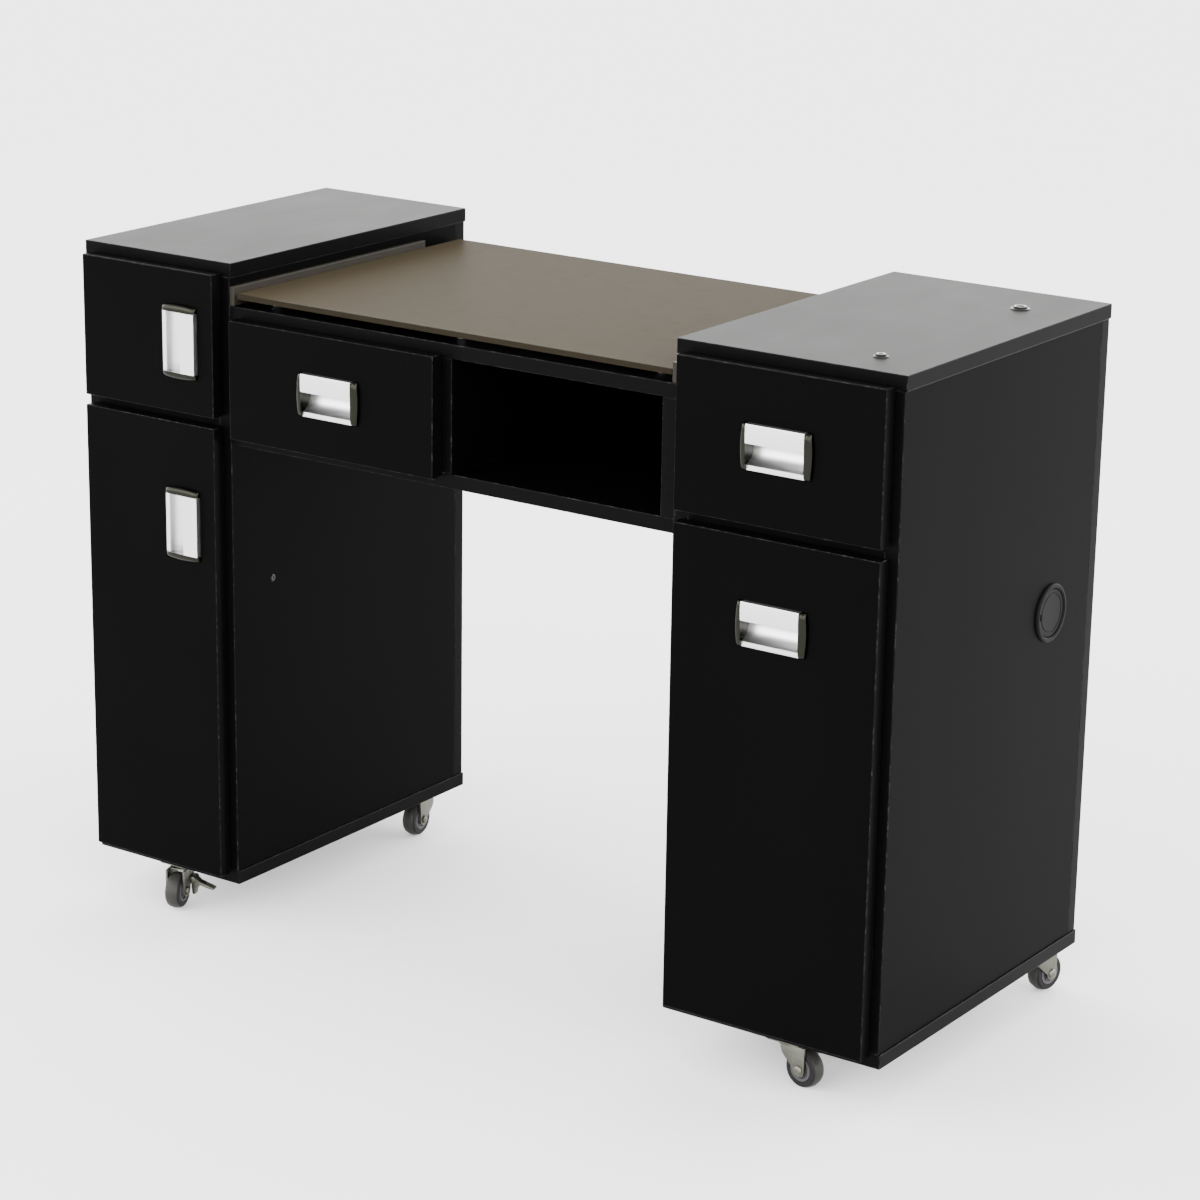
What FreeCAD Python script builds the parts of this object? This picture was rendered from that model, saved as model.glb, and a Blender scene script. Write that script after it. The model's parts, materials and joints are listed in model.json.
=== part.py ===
import FreeCAD, Part
import math
import os

from FreeCAD import Placement, Rotation, Vector

# A two-pedestal manicure table on casters. Millimetres, +Z up, +X to the user's right,
# -Y towards the user. The origin is on the floor, under the middle of the overall box.

# Overall sizes
table_width = 1000.0
board_depth = 400.0
table_height = 730.0
left_width = 200.0
right_width = 250.0
board = 15.0

# Carcass
side_inset = 1.5
back_inset = 1.0
shelf_drop = 160.0
desk_drop = 44.0
desk_opening = 117.0
drawer_bay = 255.0

# Doors and drawer fronts
front_thickness = 15.0
front_gap = 2.0
reveal = 11.0
centre_lap = 4.0
low_door_handle_drop = 109.0
low_drawer_handle_drop = 85.0
door_handle_inset = 43.3

# Flush pulls
handle_length = 80.0
handle_width = 45.0
handle_proud = 6.0
cap_length = 8.0
cap_bulge = 2.0
lip_height = 19.0
lip_thickness = 1.8
strip_height = 5.0
strip_proud = 2.5
pocket_depth = 12.0
pocket_lap = 2.0
pocket_end_lap = 4.0
cup_wall = 1.5
quarter_arc_share = 0.3
ramp_middle = 0.62
ramp_depth_share = 0.68

# Drawer boxes and runners
box_wall = 12.0
box_bottom = 4.0
box_bottom_lift = 6.0
box_length = 350.0
box_floor_gap = 10.0
runner_gap = 12.5
runner_height = 30.0
runner_wall = 2.0
runner_web = 1.5
runner_short = 2.0
runner_play = 0.4
upper_headroom = 25.0
lower_headroom = 80.0
centre_headroom = 22.0

# Cup hinges
cup_diameter = 35.0
cup_bore_depth = 11.5
cup_skin = 2.0
cup_flange_height = 52.5
hinge_plate = 1.2
knuckle = 11.0
knuckle_reach = 8.0
arm_width = 18.0
arm_thickness = 8.5
arm_length = 60.0
arm_base_height = 50.4
hinge_side_gap = 2.0
small_door_hinge_pitch = 80.0
tall_door_hinge_inset = 70.0

# Glass worktop
glass_thickness = 6.0
glass_rise = 7.0
glass_side_gap = 6.0
glass_front_gap = 2.0
glass_back_gap = 20.0
pad_diameter = 12.0
pad_inset = 30.0
stop_height = 20.0
stop_length = 321.0
stop_clearance = 1.5

# Grommet and sockets
grommet_diameter = 60.0
grommet_sleeve = 54.0
grommet_wall = 2.0
grommet_proud = 3.0
grommet_from_front = 305.0
grommet_drop = 297.0
cap_thickness = 4.0
cap_recess = 1.5
cap_clearance = 0.2
ledge = 3.0
socket_end_inset = 59.0
lamp_socket_from_front = 319.0
lamp_bore = 10.0
lamp_flange = 20.0
tool_socket_from_front = 52.0
tool_bore = 6.5
tool_flange = 15.0
socket_wall = 1.7
flange_thickness = 1.0
collar_rise = 3.0
screw_cap_diameter = 8.0
screw_cap_proud = 0.8
screw_cap_from_front = 63.0
screw_cap_drop = 350.0

# Casters
wheel_diameter = 40.0
wheel_width = 16.0
tyre_rounding = 2.5
caster_trail = 18.0
plate_size = 40.0
plate_corner = 5.0
plate_thickness = 2.5
race_diameter = 28.0
race_height = 3.0
fork_sheet = 2.0
crown_sheet = 2.2
crown_clearance = 2.0
kingpin_diameter = 8.0
kingpin_head = 13.0
axle_diameter = 6.0
axle_head = 10.0
axle_head_height = 2.5
boss_diameter = 14.0
hub_diameter = 26.0
hub_rim = 2.0
hub_web = 9.0
hub_boss_diameter = 12.0
leg_clearance = 1.0
hub_clearance = 0.5
swivel_play = 0.3
running_clearance = 0.05
front_caster_inset = 23.5
right_caster_offset = 12.0
rear_caster_inset = 39.0
corner_caster_inset = 27.5
brake_pin_diameter = 3.0
brake_pin_drop = 11.0
brake_pin_gap = 3.0
brake_body_width = 9.0
brake_body_reach = 10.0
brake_body_drop = 18.0
brake_tab_reach = 24.5
brake_tab_thickness = 1.8
brake_tab_drop = 9.0
brake_press_gap = 2.2
brake_ear_height = 6.0
brake_ear_sheet = 2.0
brake_side_play = 0.3

# Places worked out from the sizes above
caster_height = wheel_diameter + crown_clearance + crown_sheet + swivel_play + race_height + plate_thickness
middle_x = (table_width + grommet_proud - side_inset) / 2
left_x = -middle_x
right_x = left_x + table_width
left_inner_x = left_x + left_width
right_inner_x = right_x - right_width
front_y = -(board_depth - front_gap - front_thickness - handle_proud) / 2
back_y = front_y + board_depth
panel_back_y = back_y - back_inset - board
door_back_y = front_y - front_gap
door_front_y = door_back_y - front_thickness
foot_z = caster_height
floor_board_z = foot_z + board
under_top_z = table_height - board
shelf_top_z = table_height - shelf_drop
shelf_bottom_z = shelf_top_z - board
desk_top_z = table_height - desk_drop
desk_bottom_z = desk_top_z - board
tray_top_z = desk_bottom_z - desk_opening
tray_bottom_z = tray_top_z - board
glass_bottom_z = desk_top_z + glass_rise
centre_left_x = left_inner_x - side_inset
centre_right_x = right_inner_x + side_inset
bay_left_x = left_inner_x + board
bay_right_x = bay_left_x + drawer_bay
cubby_left_x = bay_right_x + board
cubby_right_x = right_inner_x - board
upper_front_bottom_z = (shelf_top_z + shelf_bottom_z + reveal) / 2
lower_front_top_z = (shelf_top_z + shelf_bottom_z - reveal) / 2
upper_box_height = under_top_z - shelf_top_z - box_floor_gap - upper_headroom
lower_box_height = shelf_bottom_z - floor_board_z - box_floor_gap - lower_headroom
centre_box_height = desk_opening - box_floor_gap - centre_headroom


def slab(x_span, y_span, z_span):
    """A square-edged block between three pairs of limits."""
    corner = Vector(x_span[0], y_span[0], z_span[0])
    return Part.makeBox(x_span[1] - x_span[0], y_span[1] - y_span[0], z_span[1] - z_span[0], corner)


def rod(radius, start, end):
    """A round bar from one point to another."""
    axis = Vector(*end) - Vector(*start)
    return Part.makeCylinder(radius, axis.Length, Vector(*start), axis)


def tube(outer, inner, start, end):
    """A round bar with a bore along its middle."""
    return rod(outer, start, end).cut(rod(inner, start, end))


def joined(shapes):
    """Pieces welded or moulded as one solid."""
    whole = shapes[0]
    for shape in shapes[1:]:
        whole = whole.fuse(shape)
    return whole.removeSplitter()


def outline(points, plane):
    """A flat face. A step is a point, or a pair of points for an arc through the first."""
    last = plane(*points[0])
    edges = []
    for step in points[1:] + [points[0]]:
        if isinstance(step[0], tuple):
            end = plane(*step[1])
            edges.append(Part.Arc(last, plane(*step[0]), end).toShape())
        else:
            end = plane(*step)
            edges.append(Part.LineSegment(last, end).toShape())
        last = end
    return Part.Face(Part.Wire(edges))


def save(name, shapes):
    """Write one node, as a single solid or as a group of separate solids."""
    shape = shapes[0] if len(shapes) == 1 else Part.makeCompound(shapes)
    shape.exportStep("parts/" + name + ".step")


# Pedestals

def pedestal(side, x0, x1):
    """Top and bottom boards, two sides and a back."""
    outer = (x0, x1)
    inner = (x0 + side_inset, x1 - side_inset)
    depth = (front_y, back_y)
    height = (floor_board_z, under_top_z)
    save(side + "_bottom_board", [slab(outer, depth, (foot_z, floor_board_z))])
    save(side + "_back_panel", [slab(inner, (panel_back_y, back_y - back_inset), height)])
    top = slab(outer, depth, (under_top_z, table_height))
    sides = [slab((inner[0], inner[0] + board), (front_y, panel_back_y), height)]
    sides.append(slab((inner[1] - board, inner[1]), (front_y, panel_back_y), height))
    if side == "right":
        for y, bore, _ in sockets():
            sleeve = bore / 2 + socket_wall
            top = top.cut(rod(sleeve, (socket_x, y, under_top_z), (socket_x, y, table_height)))
        sides[1] = sides[1].cut(rod(grommet_sleeve / 2, (inner[1] - board, grommet_y, grommet_z),
                                    (inner[1], grommet_y, grommet_z)))
    save(side + "_top_board", [top])
    save(side + "_side_panels", sides)


def pedestal_shelves():
    """The board between the upper and lower space of each pedestal."""
    depth = (front_y, panel_back_y)
    height = (shelf_bottom_z, shelf_top_z)
    gap = side_inset + board
    left = slab((left_x + gap, left_inner_x - gap), depth, height)
    right = slab((right_inner_x + gap, right_x - gap), depth, height)
    save("pedestal_shelves", [left, right])


# Centre unit

def centre_unit():
    """The shallow unit between the pedestals: drawer bay on the left, open cubby on the right."""
    width = (centre_left_x, centre_right_x)
    save("desk_board", [slab(width, (front_y, back_y - back_inset), (desk_bottom_z, desk_top_z))])
    save("centre_bottom_board", [slab(width, (front_y, panel_back_y), (tray_bottom_z, tray_top_z))])
    save("centre_back_panel",
         [slab(width, (panel_back_y, back_y - back_inset), (tray_bottom_z, desk_bottom_z))])
    uprights = []
    for x0, x1 in ((centre_left_x, bay_left_x), (bay_right_x, cubby_left_x), (cubby_right_x, centre_right_x)):
        uprights.append(slab((x0, x1), (front_y, panel_back_y), (tray_top_z, desk_bottom_z)))
    save("centre_uprights", uprights)


def glass_worktop():
    """The glass plate, the clear pads that lift it, and the stop strip along each pedestal."""
    x_span = (left_inner_x + glass_side_gap, right_inner_x - glass_side_gap)
    y_span = (front_y + glass_front_gap, back_y - glass_back_gap)
    save("glass_top", [slab(x_span, y_span, (glass_bottom_z, glass_bottom_z + glass_thickness))])
    pads = []
    for x in (x_span[0] + pad_inset, sum(x_span) / 2, x_span[1] - pad_inset):
        for y in (y_span[0] + pad_inset, y_span[1] - pad_inset):
            pads.append(rod(pad_diameter / 2, (x, y, desk_top_z), (x, y, glass_bottom_z)))
    save("glass_pads", pads)
    strips = []
    stop_thickness = glass_side_gap + side_inset - stop_clearance
    for x in (centre_left_x, centre_right_x - stop_thickness):
        strips.append(slab((x, x + stop_thickness), (front_y, front_y + stop_length),
                           (desk_top_z, desk_top_z + stop_height)))
    save("glass_stop_strips", strips)


# Grommet, sockets and screw caps

grommet_y = front_y + grommet_from_front
grommet_z = table_height - grommet_drop
grommet_face_x = right_x - side_inset
socket_x = right_x - socket_end_inset


def sockets():
    """Depth from the front, bore and flange of the two sleeves in the right top board."""
    lamp = (front_y + lamp_socket_from_front, lamp_bore, lamp_flange)
    tool = (front_y + tool_socket_from_front, tool_bore, tool_flange)
    return [lamp, tool]


def side_grommet():
    """A flanged cable grommet in the right side, and the cap pressed into it."""
    def centre(x):
        return (x, grommet_y, grommet_z)

    outer = grommet_sleeve / 2
    inner = outer - grommet_wall
    face = grommet_face_x
    cap_face = face + grommet_proud - cap_recess
    cap_back = cap_face - cap_thickness
    flange = tube(grommet_diameter / 2, inner, centre(face), centre(face + grommet_proud))
    sleeve = tube(outer, inner, centre(face - board), centre(face))
    rest = tube(inner, inner - ledge, centre(cap_back - ledge), centre(cap_back))
    save("side_grommet", [joined([flange, sleeve, rest])])
    save("grommet_cap", [rod(inner - cap_clearance, centre(cap_back), centre(cap_face))])


def top_bushes():
    """Metal sleeves through the right top board, each with a flange and a raised collar."""
    bushes = []
    for y, bore, flange in sockets():
        wall = bore / 2 + socket_wall
        above = table_height + flange_thickness
        body = rod(wall, (socket_x, y, under_top_z), (socket_x, y, table_height + collar_rise))
        body = body.fuse(rod(flange / 2, (socket_x, y, table_height), (socket_x, y, above)))
        hole = rod(bore / 2, (socket_x, y, under_top_z), (socket_x, y, table_height + collar_rise))
        bushes.append(body.cut(hole).removeSplitter())
    save("top_bushes", bushes)


def screw_caps():
    """A cover cap over the screw in the inner side of each pedestal."""
    caps = []
    y = front_y + screw_cap_from_front
    z = table_height - screw_cap_drop
    for wall_x, way in ((centre_left_x, 1), (centre_right_x, -1)):
        caps.append(rod(screw_cap_diameter / 2, (wall_x, y, z), (wall_x + way * screw_cap_proud, y, z)))
    save("screw_caps", caps)


# Flush pulls: u runs along the pull, v points to its lip, w points out of the panel.

def lying(x, z):
    """Places a pull with its lip at the top."""
    turn = Rotation(Vector(1, 0, 0), Vector(0, 0, 1), Vector(0, -1, 0), "XYZ")
    return Placement(Vector(x, door_front_y, z), turn)


def standing(x, z):
    """Places a pull on end, with its lip on the right."""
    turn = Rotation(Vector(0, 0, -1), Vector(1, 0, 0), Vector(0, -1, 0), "XYZ")
    return Placement(Vector(x, door_front_y, z), turn)


def placed(shape, placement):
    """The shape moved from a local frame to its place in the table."""
    return shape.transformed(placement.toMatrix(), copy=True)


def pull_pocket():
    """The space routed in the panel for one pull."""
    u = handle_length / 2 - pocket_end_lap
    v = handle_width / 2 - pocket_lap
    return slab((-u, u), (-v, v), (-pocket_depth, 0))


def pull_grip():
    """The pressed centre of a pull: a lip over a hollow, and a narrow strip at its far edge."""
    u = handle_length / 2 - cap_length
    half = handle_width / 2
    pocket = half - pocket_lap
    hollow = pocket - cup_wall
    floor = cup_wall - pocket_depth
    under_lip = handle_proud - lip_thickness
    bend = cup_wall * 2
    ramp = strip_height - half
    small = quarter_arc_share * bend
    large = 2 * small
    points = [(half, 0), (half, handle_proud), (half - lip_height, handle_proud)]
    points += [(half - lip_height, under_lip), (hollow - bend, under_lip)]
    points += [((hollow - small, under_lip - small), (hollow, under_lip - bend))]
    points += [(hollow, floor + 2 * bend)]
    points += [((hollow - large, floor + large), (hollow - 2 * bend, floor))]
    points += [(0, floor), ((ramp_middle * ramp, ramp_depth_share * floor), (ramp, strip_proud))]
    points += [(-half, strip_proud), (-half, 0), (-pocket, 0), (-pocket, -pocket_depth)]
    points += [(pocket, -pocket_depth), (pocket, 0)]
    face = outline(points, lambda v, w: Vector(-u, v, w))
    return face.extrude(Vector(2 * u, 0, 0))


def pull_caps():
    """The two moulded ends of a pull, each with a tongue that closes the end of the pocket."""
    u = handle_length / 2 - cap_length
    half = handle_width / 2
    pocket = half - pocket_lap
    shoulder = handle_length / 2 - cap_bulge
    tongue_end = handle_length / 2 - pocket_end_lap
    points = [(u, -half), (shoulder, -half), ((handle_length / 2, 0), (shoulder, half)), (u, half)]
    face = outline(points, lambda a, b: Vector(a, b, 0))
    tongue = slab((u, tongue_end), (-pocket, pocket), (-pocket_depth, 0))
    cap = joined([face.extrude(Vector(0, 0, handle_proud)), tongue])
    return [cap, cap.mirror(Vector(0, 0, 0), Vector(1, 0, 0))]


def pull(name, place):
    """Saves both nodes of a pull."""
    save(name + "_handle_grip", [placed(pull_grip(), place)])
    save(name + "_handle_caps", [placed(cap, place) for cap in pull_caps()])


# Doors

def hinge_heights(z0, z1):
    """Where the two hinges of a door sit: close together on a low door, near the ends on a tall one."""
    middle = (z0 + z1) / 2
    if z1 - z0 < 3 * tall_door_hinge_inset:
        return [middle - small_door_hinge_pitch / 2, middle + small_door_hinge_pitch / 2]
    return [z0 + tall_door_hinge_inset, z1 - tall_door_hinge_inset]


def hinge_cup(x, z):
    """A pressed cup let into the back of the door, with its flange and knuckle."""
    radius = cup_diameter / 2
    deep = door_back_y - cup_bore_depth
    skin = deep + cup_skin
    cup = tube(radius, radius - cup_skin, (x, deep, z), (x, door_back_y, z))
    cup = cup.fuse(rod(radius, (x, deep, z), (x, skin, z)))
    ears = slab((x - radius / 2, x + radius / 2), (door_back_y, door_back_y + hinge_plate),
                (z - cup_flange_height / 2, z + cup_flange_height / 2))
    ears = ears.cut(rod(radius - cup_skin, (x, door_back_y, z), (x, door_back_y + hinge_plate, z)))
    block = slab((x - knuckle / 2, x + knuckle / 2), (skin, front_y + knuckle_reach),
                 (z - knuckle / 2, z + knuckle / 2))
    return joined([cup, ears, block])


def hinge_arm(wall_x, z):
    """The fixed arm of a cup hinge, on the inside of the pedestal's outer side."""
    start = front_y + knuckle_reach / 2
    half = arm_width / 2
    arm = slab((wall_x, wall_x + arm_thickness), (start, start + arm_length), (z - half, z + half))
    base = slab((wall_x, wall_x + 2 * hinge_plate), (start + arm_length / 2, start + arm_length),
                (z - arm_base_height / 2, z + arm_base_height / 2))
    return arm.fuse(base).removeSplitter()


door_left_x = left_x + reveal
door_right_x = left_inner_x - reveal
hinge_cup_x = left_x + side_inset + board + arm_thickness + hinge_side_gap + knuckle / 2


def door(name, z0, z1, handle_z):
    """A left-hung door with its pull and hinge cups. Returns the heights of its hinges."""
    place = standing(door_right_x - door_handle_inset, handle_z)
    heights = hinge_heights(z0, z1)
    panel = slab((door_left_x, door_right_x), (door_front_y, door_back_y), (z0, z1))
    panel = panel.cut(placed(pull_pocket(), place))
    for z in heights:
        bore = rod(cup_diameter / 2, (hinge_cup_x, door_back_y - cup_bore_depth, z),
                   (hinge_cup_x, door_back_y, z))
        panel = panel.cut(bore)
    save(name + "_panel", [panel])
    save(name + "_hinge_cups", [hinge_cup(hinge_cup_x, z) for z in heights])
    pull(name, place)
    return heights


def doors():
    """Both left doors, and the hinge arms fixed to the pedestal."""
    upper_z = (upper_front_bottom_z, table_height - reveal)
    lower_z = (foot_z + reveal, lower_front_top_z)
    heights = door("upper_door", *upper_z, sum(upper_z) / 2)
    heights += door("lower_door", *lower_z, lower_front_top_z - low_door_handle_drop)
    wall_x = left_x + side_inset + board
    save("hinge_arms", [hinge_arm(wall_x, z) for z in heights])


# Drawers

def drawer_box(x0, x1, z0, height):
    """Two sides, an inner front, a back and a thin bottom let in between them."""
    start = door_back_y
    end = start + box_length
    z_span = (z0, z0 + height)
    inner = (x0 + box_wall, x1 - box_wall)
    bottom_z = z0 + box_bottom_lift
    sides = [slab((x0, inner[0]), (start, end), z_span), slab((inner[1], x1), (start, end), z_span)]
    ends = [slab(inner, (start, start + box_wall), z_span), slab(inner, (end - box_wall, end), z_span)]
    bottom = slab(inner, (start + box_wall, end - box_wall), (bottom_z, bottom_z + box_bottom))
    return sides + ends + [bottom]


def moving_runners(x0, x1, z):
    """The inner rails, screwed to the drawer sides."""
    half = runner_height / 2 - runner_wall - runner_play
    reach = runner_gap - runner_web - runner_play
    y_span = (front_y + runner_short, door_back_y + box_length)
    z_span = (z - half, z + half)
    return [slab((x0 - reach, x0), y_span, z_span), slab((x1, x1 + reach), y_span, z_span)]


def channel(wall_x, way, z):
    """A fixed C-shaped runner, open towards the drawer, which is on the side that way gives."""
    half = runner_height / 2
    depth = runner_gap - runner_short
    y_span = (front_y + runner_short, front_y + runner_short + box_length)
    x_span = sorted((wall_x, wall_x + way * depth))
    hollow = sorted((wall_x + way * runner_web, wall_x + way * depth))
    bar = slab(x_span, y_span, (z - half, z + half))
    return bar.cut(slab(hollow, y_span, (z - half + runner_wall, z + half - runner_wall)))


def drawer(name, front_x, front_z, bay_x, bay_z, box_height, handle_drop):
    """A drawer with its overlay front, pull, box and rails. Returns its fixed runners."""
    place = lying(sum(front_x) / 2, front_z[1] - handle_drop)
    front = slab(front_x, (door_front_y, door_back_y), front_z)
    save(name + "_front", [front.cut(placed(pull_pocket(), place))])
    pull(name, place)
    x0 = bay_x[0] + runner_gap
    x1 = bay_x[1] - runner_gap
    z0 = bay_z[0] + box_floor_gap
    runner_z = z0 + box_height / 2
    save(name + "_box", drawer_box(x0, x1, z0, box_height))
    save(name + "_rails", moving_runners(x0, x1, runner_z))
    return [channel(bay_x[0], 1, runner_z), channel(bay_x[1], -1, runner_z)]


def drawers():
    """The three drawers, and the runners fixed in the carcass."""
    front_x = (right_inner_x + reveal, right_x - reveal)
    bay_x = (right_inner_x + side_inset + board, right_x - side_inset - board)
    upper_z = (upper_front_bottom_z, table_height - reveal)
    lower_z = (foot_z + reveal, lower_front_top_z)
    centre_x = (bay_left_x - centre_lap, bay_right_x + centre_lap)
    centre_z = (tray_top_z - centre_lap, desk_bottom_z + centre_lap)
    runners = drawer("upper_drawer", front_x, upper_z, bay_x, (shelf_top_z, under_top_z),
                     upper_box_height, (upper_z[1] - upper_z[0]) / 2)
    runners += drawer("lower_drawer", front_x, lower_z, bay_x, (floor_board_z, shelf_bottom_z),
                      lower_box_height, low_drawer_handle_drop)
    runners += drawer("centre_drawer", centre_x, centre_z, (bay_left_x, bay_right_x),
                      (tray_top_z, desk_bottom_z), centre_box_height, (centre_z[1] - centre_z[0]) / 2)
    save("fixed_runners", runners)


# Casters, built with the swivel axis on Z and the wheel trailing towards +X

axle_z = wheel_diameter / 2
race_bottom = caster_height - plate_thickness - race_height
crown_top = race_bottom - swivel_play
crown_bottom = crown_top - crown_sheet
leg_inner = wheel_width / 2 + leg_clearance
leg_outer = leg_inner + fork_sheet
brake_pin_y = leg_outer + brake_pin_gap
brake_pin_z = crown_bottom - brake_pin_drop
brake_body_x = (0, brake_body_width)


def caster_spots():
    """Name, swivel centre and trail direction in degrees of the six casters."""
    front = front_y + front_caster_inset
    rear = back_y - rear_caster_inset
    left_mid = left_x + left_width / 2
    right_mid = right_x - right_width / 2 + right_caster_offset
    return [
        ("front_left", left_mid, front, -72.0),
        ("front_right", right_mid, front, -8.0),
        ("rear_left_outer", left_x + corner_caster_inset, rear, -110.0),
        ("rear_left_inner", left_inner_x - corner_caster_inset, rear, -84.0),
        ("rear_right_inner", right_inner_x + corner_caster_inset, rear, 115.0),
        ("rear_right_outer", right_x - corner_caster_inset, rear, 77.0),
    ]


def caster_plate():
    """The fixed top plate with its lower race and riveted kingpin."""
    half = plate_size / 2
    plate = slab((-half, half), (-half, half), (caster_height - plate_thickness, caster_height))
    plate = plate.makeFillet(plate_corner, upright_edges(plate))
    race = rod(race_diameter / 2, (0, 0, race_bottom), (0, 0, caster_height - plate_thickness))
    head_top = crown_bottom - swivel_play
    pin = rod(kingpin_diameter / 2, (0, 0, head_top), (0, 0, race_bottom))
    head = rod(kingpin_head / 2, (0, 0, head_top - crown_sheet), (0, 0, head_top))
    return joined([plate, race, pin, head])


def upright_edges(shape):
    """The straight edges of a block that run along Z."""
    return [edge for edge in shape.Edges if abs(edge.tangentAt(edge.FirstParameter).z) > 0.99]


def fork_shell():
    """The folded sheet of the fork: two cheeks, joined by a round web on the leading side."""
    boss = boss_diameter / 2
    low = axle_z - boss
    reach = caster_trail + boss

    def drum(half):
        straight = slab((0, reach), (-half, half), (low, crown_top))
        return rod(half, (0, 0, low), (0, 0, crown_top)).fuse(straight)

    points = [(-leg_outer, crown_top), (reach, crown_top), (reach, axle_z)]
    points += [((caster_trail, low), (caster_trail - boss, axle_z))]
    points += [(-leg_outer, crown_bottom - crown_sheet)]
    side = outline(points, lambda x, z: Vector(x, -leg_outer, z)).extrude(Vector(0, 2 * leg_outer, 0))
    return drum(leg_outer).cut(drum(leg_inner)).common(side)


def brake_ears():
    """The two lugs on the fork that carry the brake's pin."""
    ears = []
    z_span = (brake_pin_z - brake_ear_height / 2, brake_pin_z + brake_ear_height / 2)
    near = brake_body_x[0] - brake_side_play
    far = brake_body_x[1] + brake_side_play
    for x_span in ((near - brake_ear_sheet, near), (far, far + brake_ear_sheet)):
        ear = slab(x_span, (leg_outer - fork_sheet / 2, brake_pin_y + brake_ear_height / 2), z_span)
        ears.append(ear.cut(brake_pin(brake_pin_diameter / 2 + running_clearance)))
    return ears


def brake_pin(radius):
    """The brake's pin, or the hole for it."""
    reach = brake_side_play + brake_ear_sheet
    start = (brake_body_x[0] - reach, brake_pin_y, brake_pin_z)
    return rod(radius, start, (brake_body_x[1] + reach, brake_pin_y, brake_pin_z))


def caster_fork(braked):
    """The pressed fork, and the axle bolt with its nut."""
    crown = rod(race_diameter / 2, (0, 0, crown_bottom), (0, 0, crown_top))
    crown = crown.fuse(slab((0, caster_trail), (-leg_outer, leg_outer), (crown_bottom, crown_top)))
    fork = joined([crown, fork_shell()] + (brake_ears() if braked else []))
    fork = fork.cut(rod(kingpin_diameter / 2 + running_clearance, (0, 0, crown_bottom), (0, 0, crown_top)))
    ends = leg_outer + axle_head_height
    bolt = rod(axle_diameter / 2, (caster_trail, -leg_outer, axle_z), (caster_trail, leg_outer, axle_z))
    fork = fork.cut(bolt)
    head = rod(axle_head / 2, (caster_trail, -ends, axle_z), (caster_trail, -leg_outer, axle_z))
    return [fork, joined([bolt, head, axle_nut(ends)])]


def axle_nut(end):
    """The hexagon nut on the far end of the axle."""
    corners = []
    for turn in range(6):
        angle = math.radians(60 * turn)
        along = axle_head / 2 * math.cos(angle)
        corners.append((caster_trail + along, axle_z + axle_head / 2 * math.sin(angle)))
    face = outline(corners, lambda x, z: Vector(x, leg_outer, z))
    return face.extrude(Vector(0, end - leg_outer, 0))


def caster_wheel():
    """A hub with a running bore, and the tyre moulded round it."""
    def across(half):
        return (caster_trail, -half, axle_z), (caster_trail, half, axle_z)

    half = wheel_width / 2
    hub_half = leg_inner - hub_clearance
    tyre = rod(wheel_diameter / 2, *across(half))
    tyre = tyre.makeFillet(tyre_rounding, [edge for edge in tyre.Edges if edge.Closed])
    tyre = tyre.cut(rod(hub_diameter / 2, *across(half)))
    hub = rod(hub_diameter / 2, *across(half)).fuse(rod(hub_boss_diameter / 2, *across(hub_half)))
    dish = tube(hub_diameter / 2 - hub_rim, hub_boss_diameter / 2, *across(half))
    dish = dish.cut(rod(hub_diameter / 2, *across(hub_web / 2)))
    hub = hub.cut(dish).cut(rod(axle_diameter / 2 + running_clearance, *across(hub_half)))
    return [hub.removeSplitter(), tyre]


def brake_lever():
    """The side lever of a brake: a block hung from its pin, and a tab for the toe."""
    radius = brake_pin_diameter / 2 + running_clearance
    top = brake_pin_z + brake_ear_height / 2
    low = brake_pin_z - brake_body_drop
    inner = leg_outer + brake_side_play
    tab_y = brake_pin_y + brake_tab_reach
    tab_z = brake_pin_z - brake_tab_drop
    knee_y = inner + brake_body_reach
    knee_z = brake_pin_z - brake_pin_diameter
    points = [(inner, top), (brake_pin_y + radius, top), (knee_y, knee_z), (tab_y, tab_z)]
    points += [(tab_y, tab_z - brake_tab_thickness), (knee_y, knee_z - 2 * brake_tab_thickness)]
    points += [(leg_outer + brake_press_gap + brake_pin_diameter, low), (leg_outer + brake_press_gap, low)]
    points += [(inner, brake_pin_z)]
    body = outline(points, lambda y, z: Vector(brake_body_x[0], y, z)).extrude(Vector(brake_body_width, 0, 0))
    return joined([body, brake_pin(brake_pin_diameter / 2)])


def casters():
    """Six swivel casters. The two at the front have brakes."""
    plates = []
    for name, x, y, angle in caster_spots():
        place = Placement(Vector(x, y, 0), Rotation(Vector(0, 0, 1), angle))
        braked = name.startswith("front")
        plates.append(placed(caster_plate(), Placement(Vector(x, y, 0), Rotation())))
        save(name + "_caster_fork", [placed(shape, place) for shape in caster_fork(braked)])
        save(name + "_caster_wheel", [placed(shape, place) for shape in caster_wheel()])
        if braked:
            save(name + "_brake_lever", [placed(brake_lever(), place)])
    save("caster_plates", plates)


os.makedirs("parts", exist_ok=True)
pedestal("left", left_x, left_inner_x)
pedestal("right", right_inner_x, right_x)
pedestal_shelves()
centre_unit()
glass_worktop()
side_grommet()
top_bushes()
screw_caps()
doors()
drawers()
casters()
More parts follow.
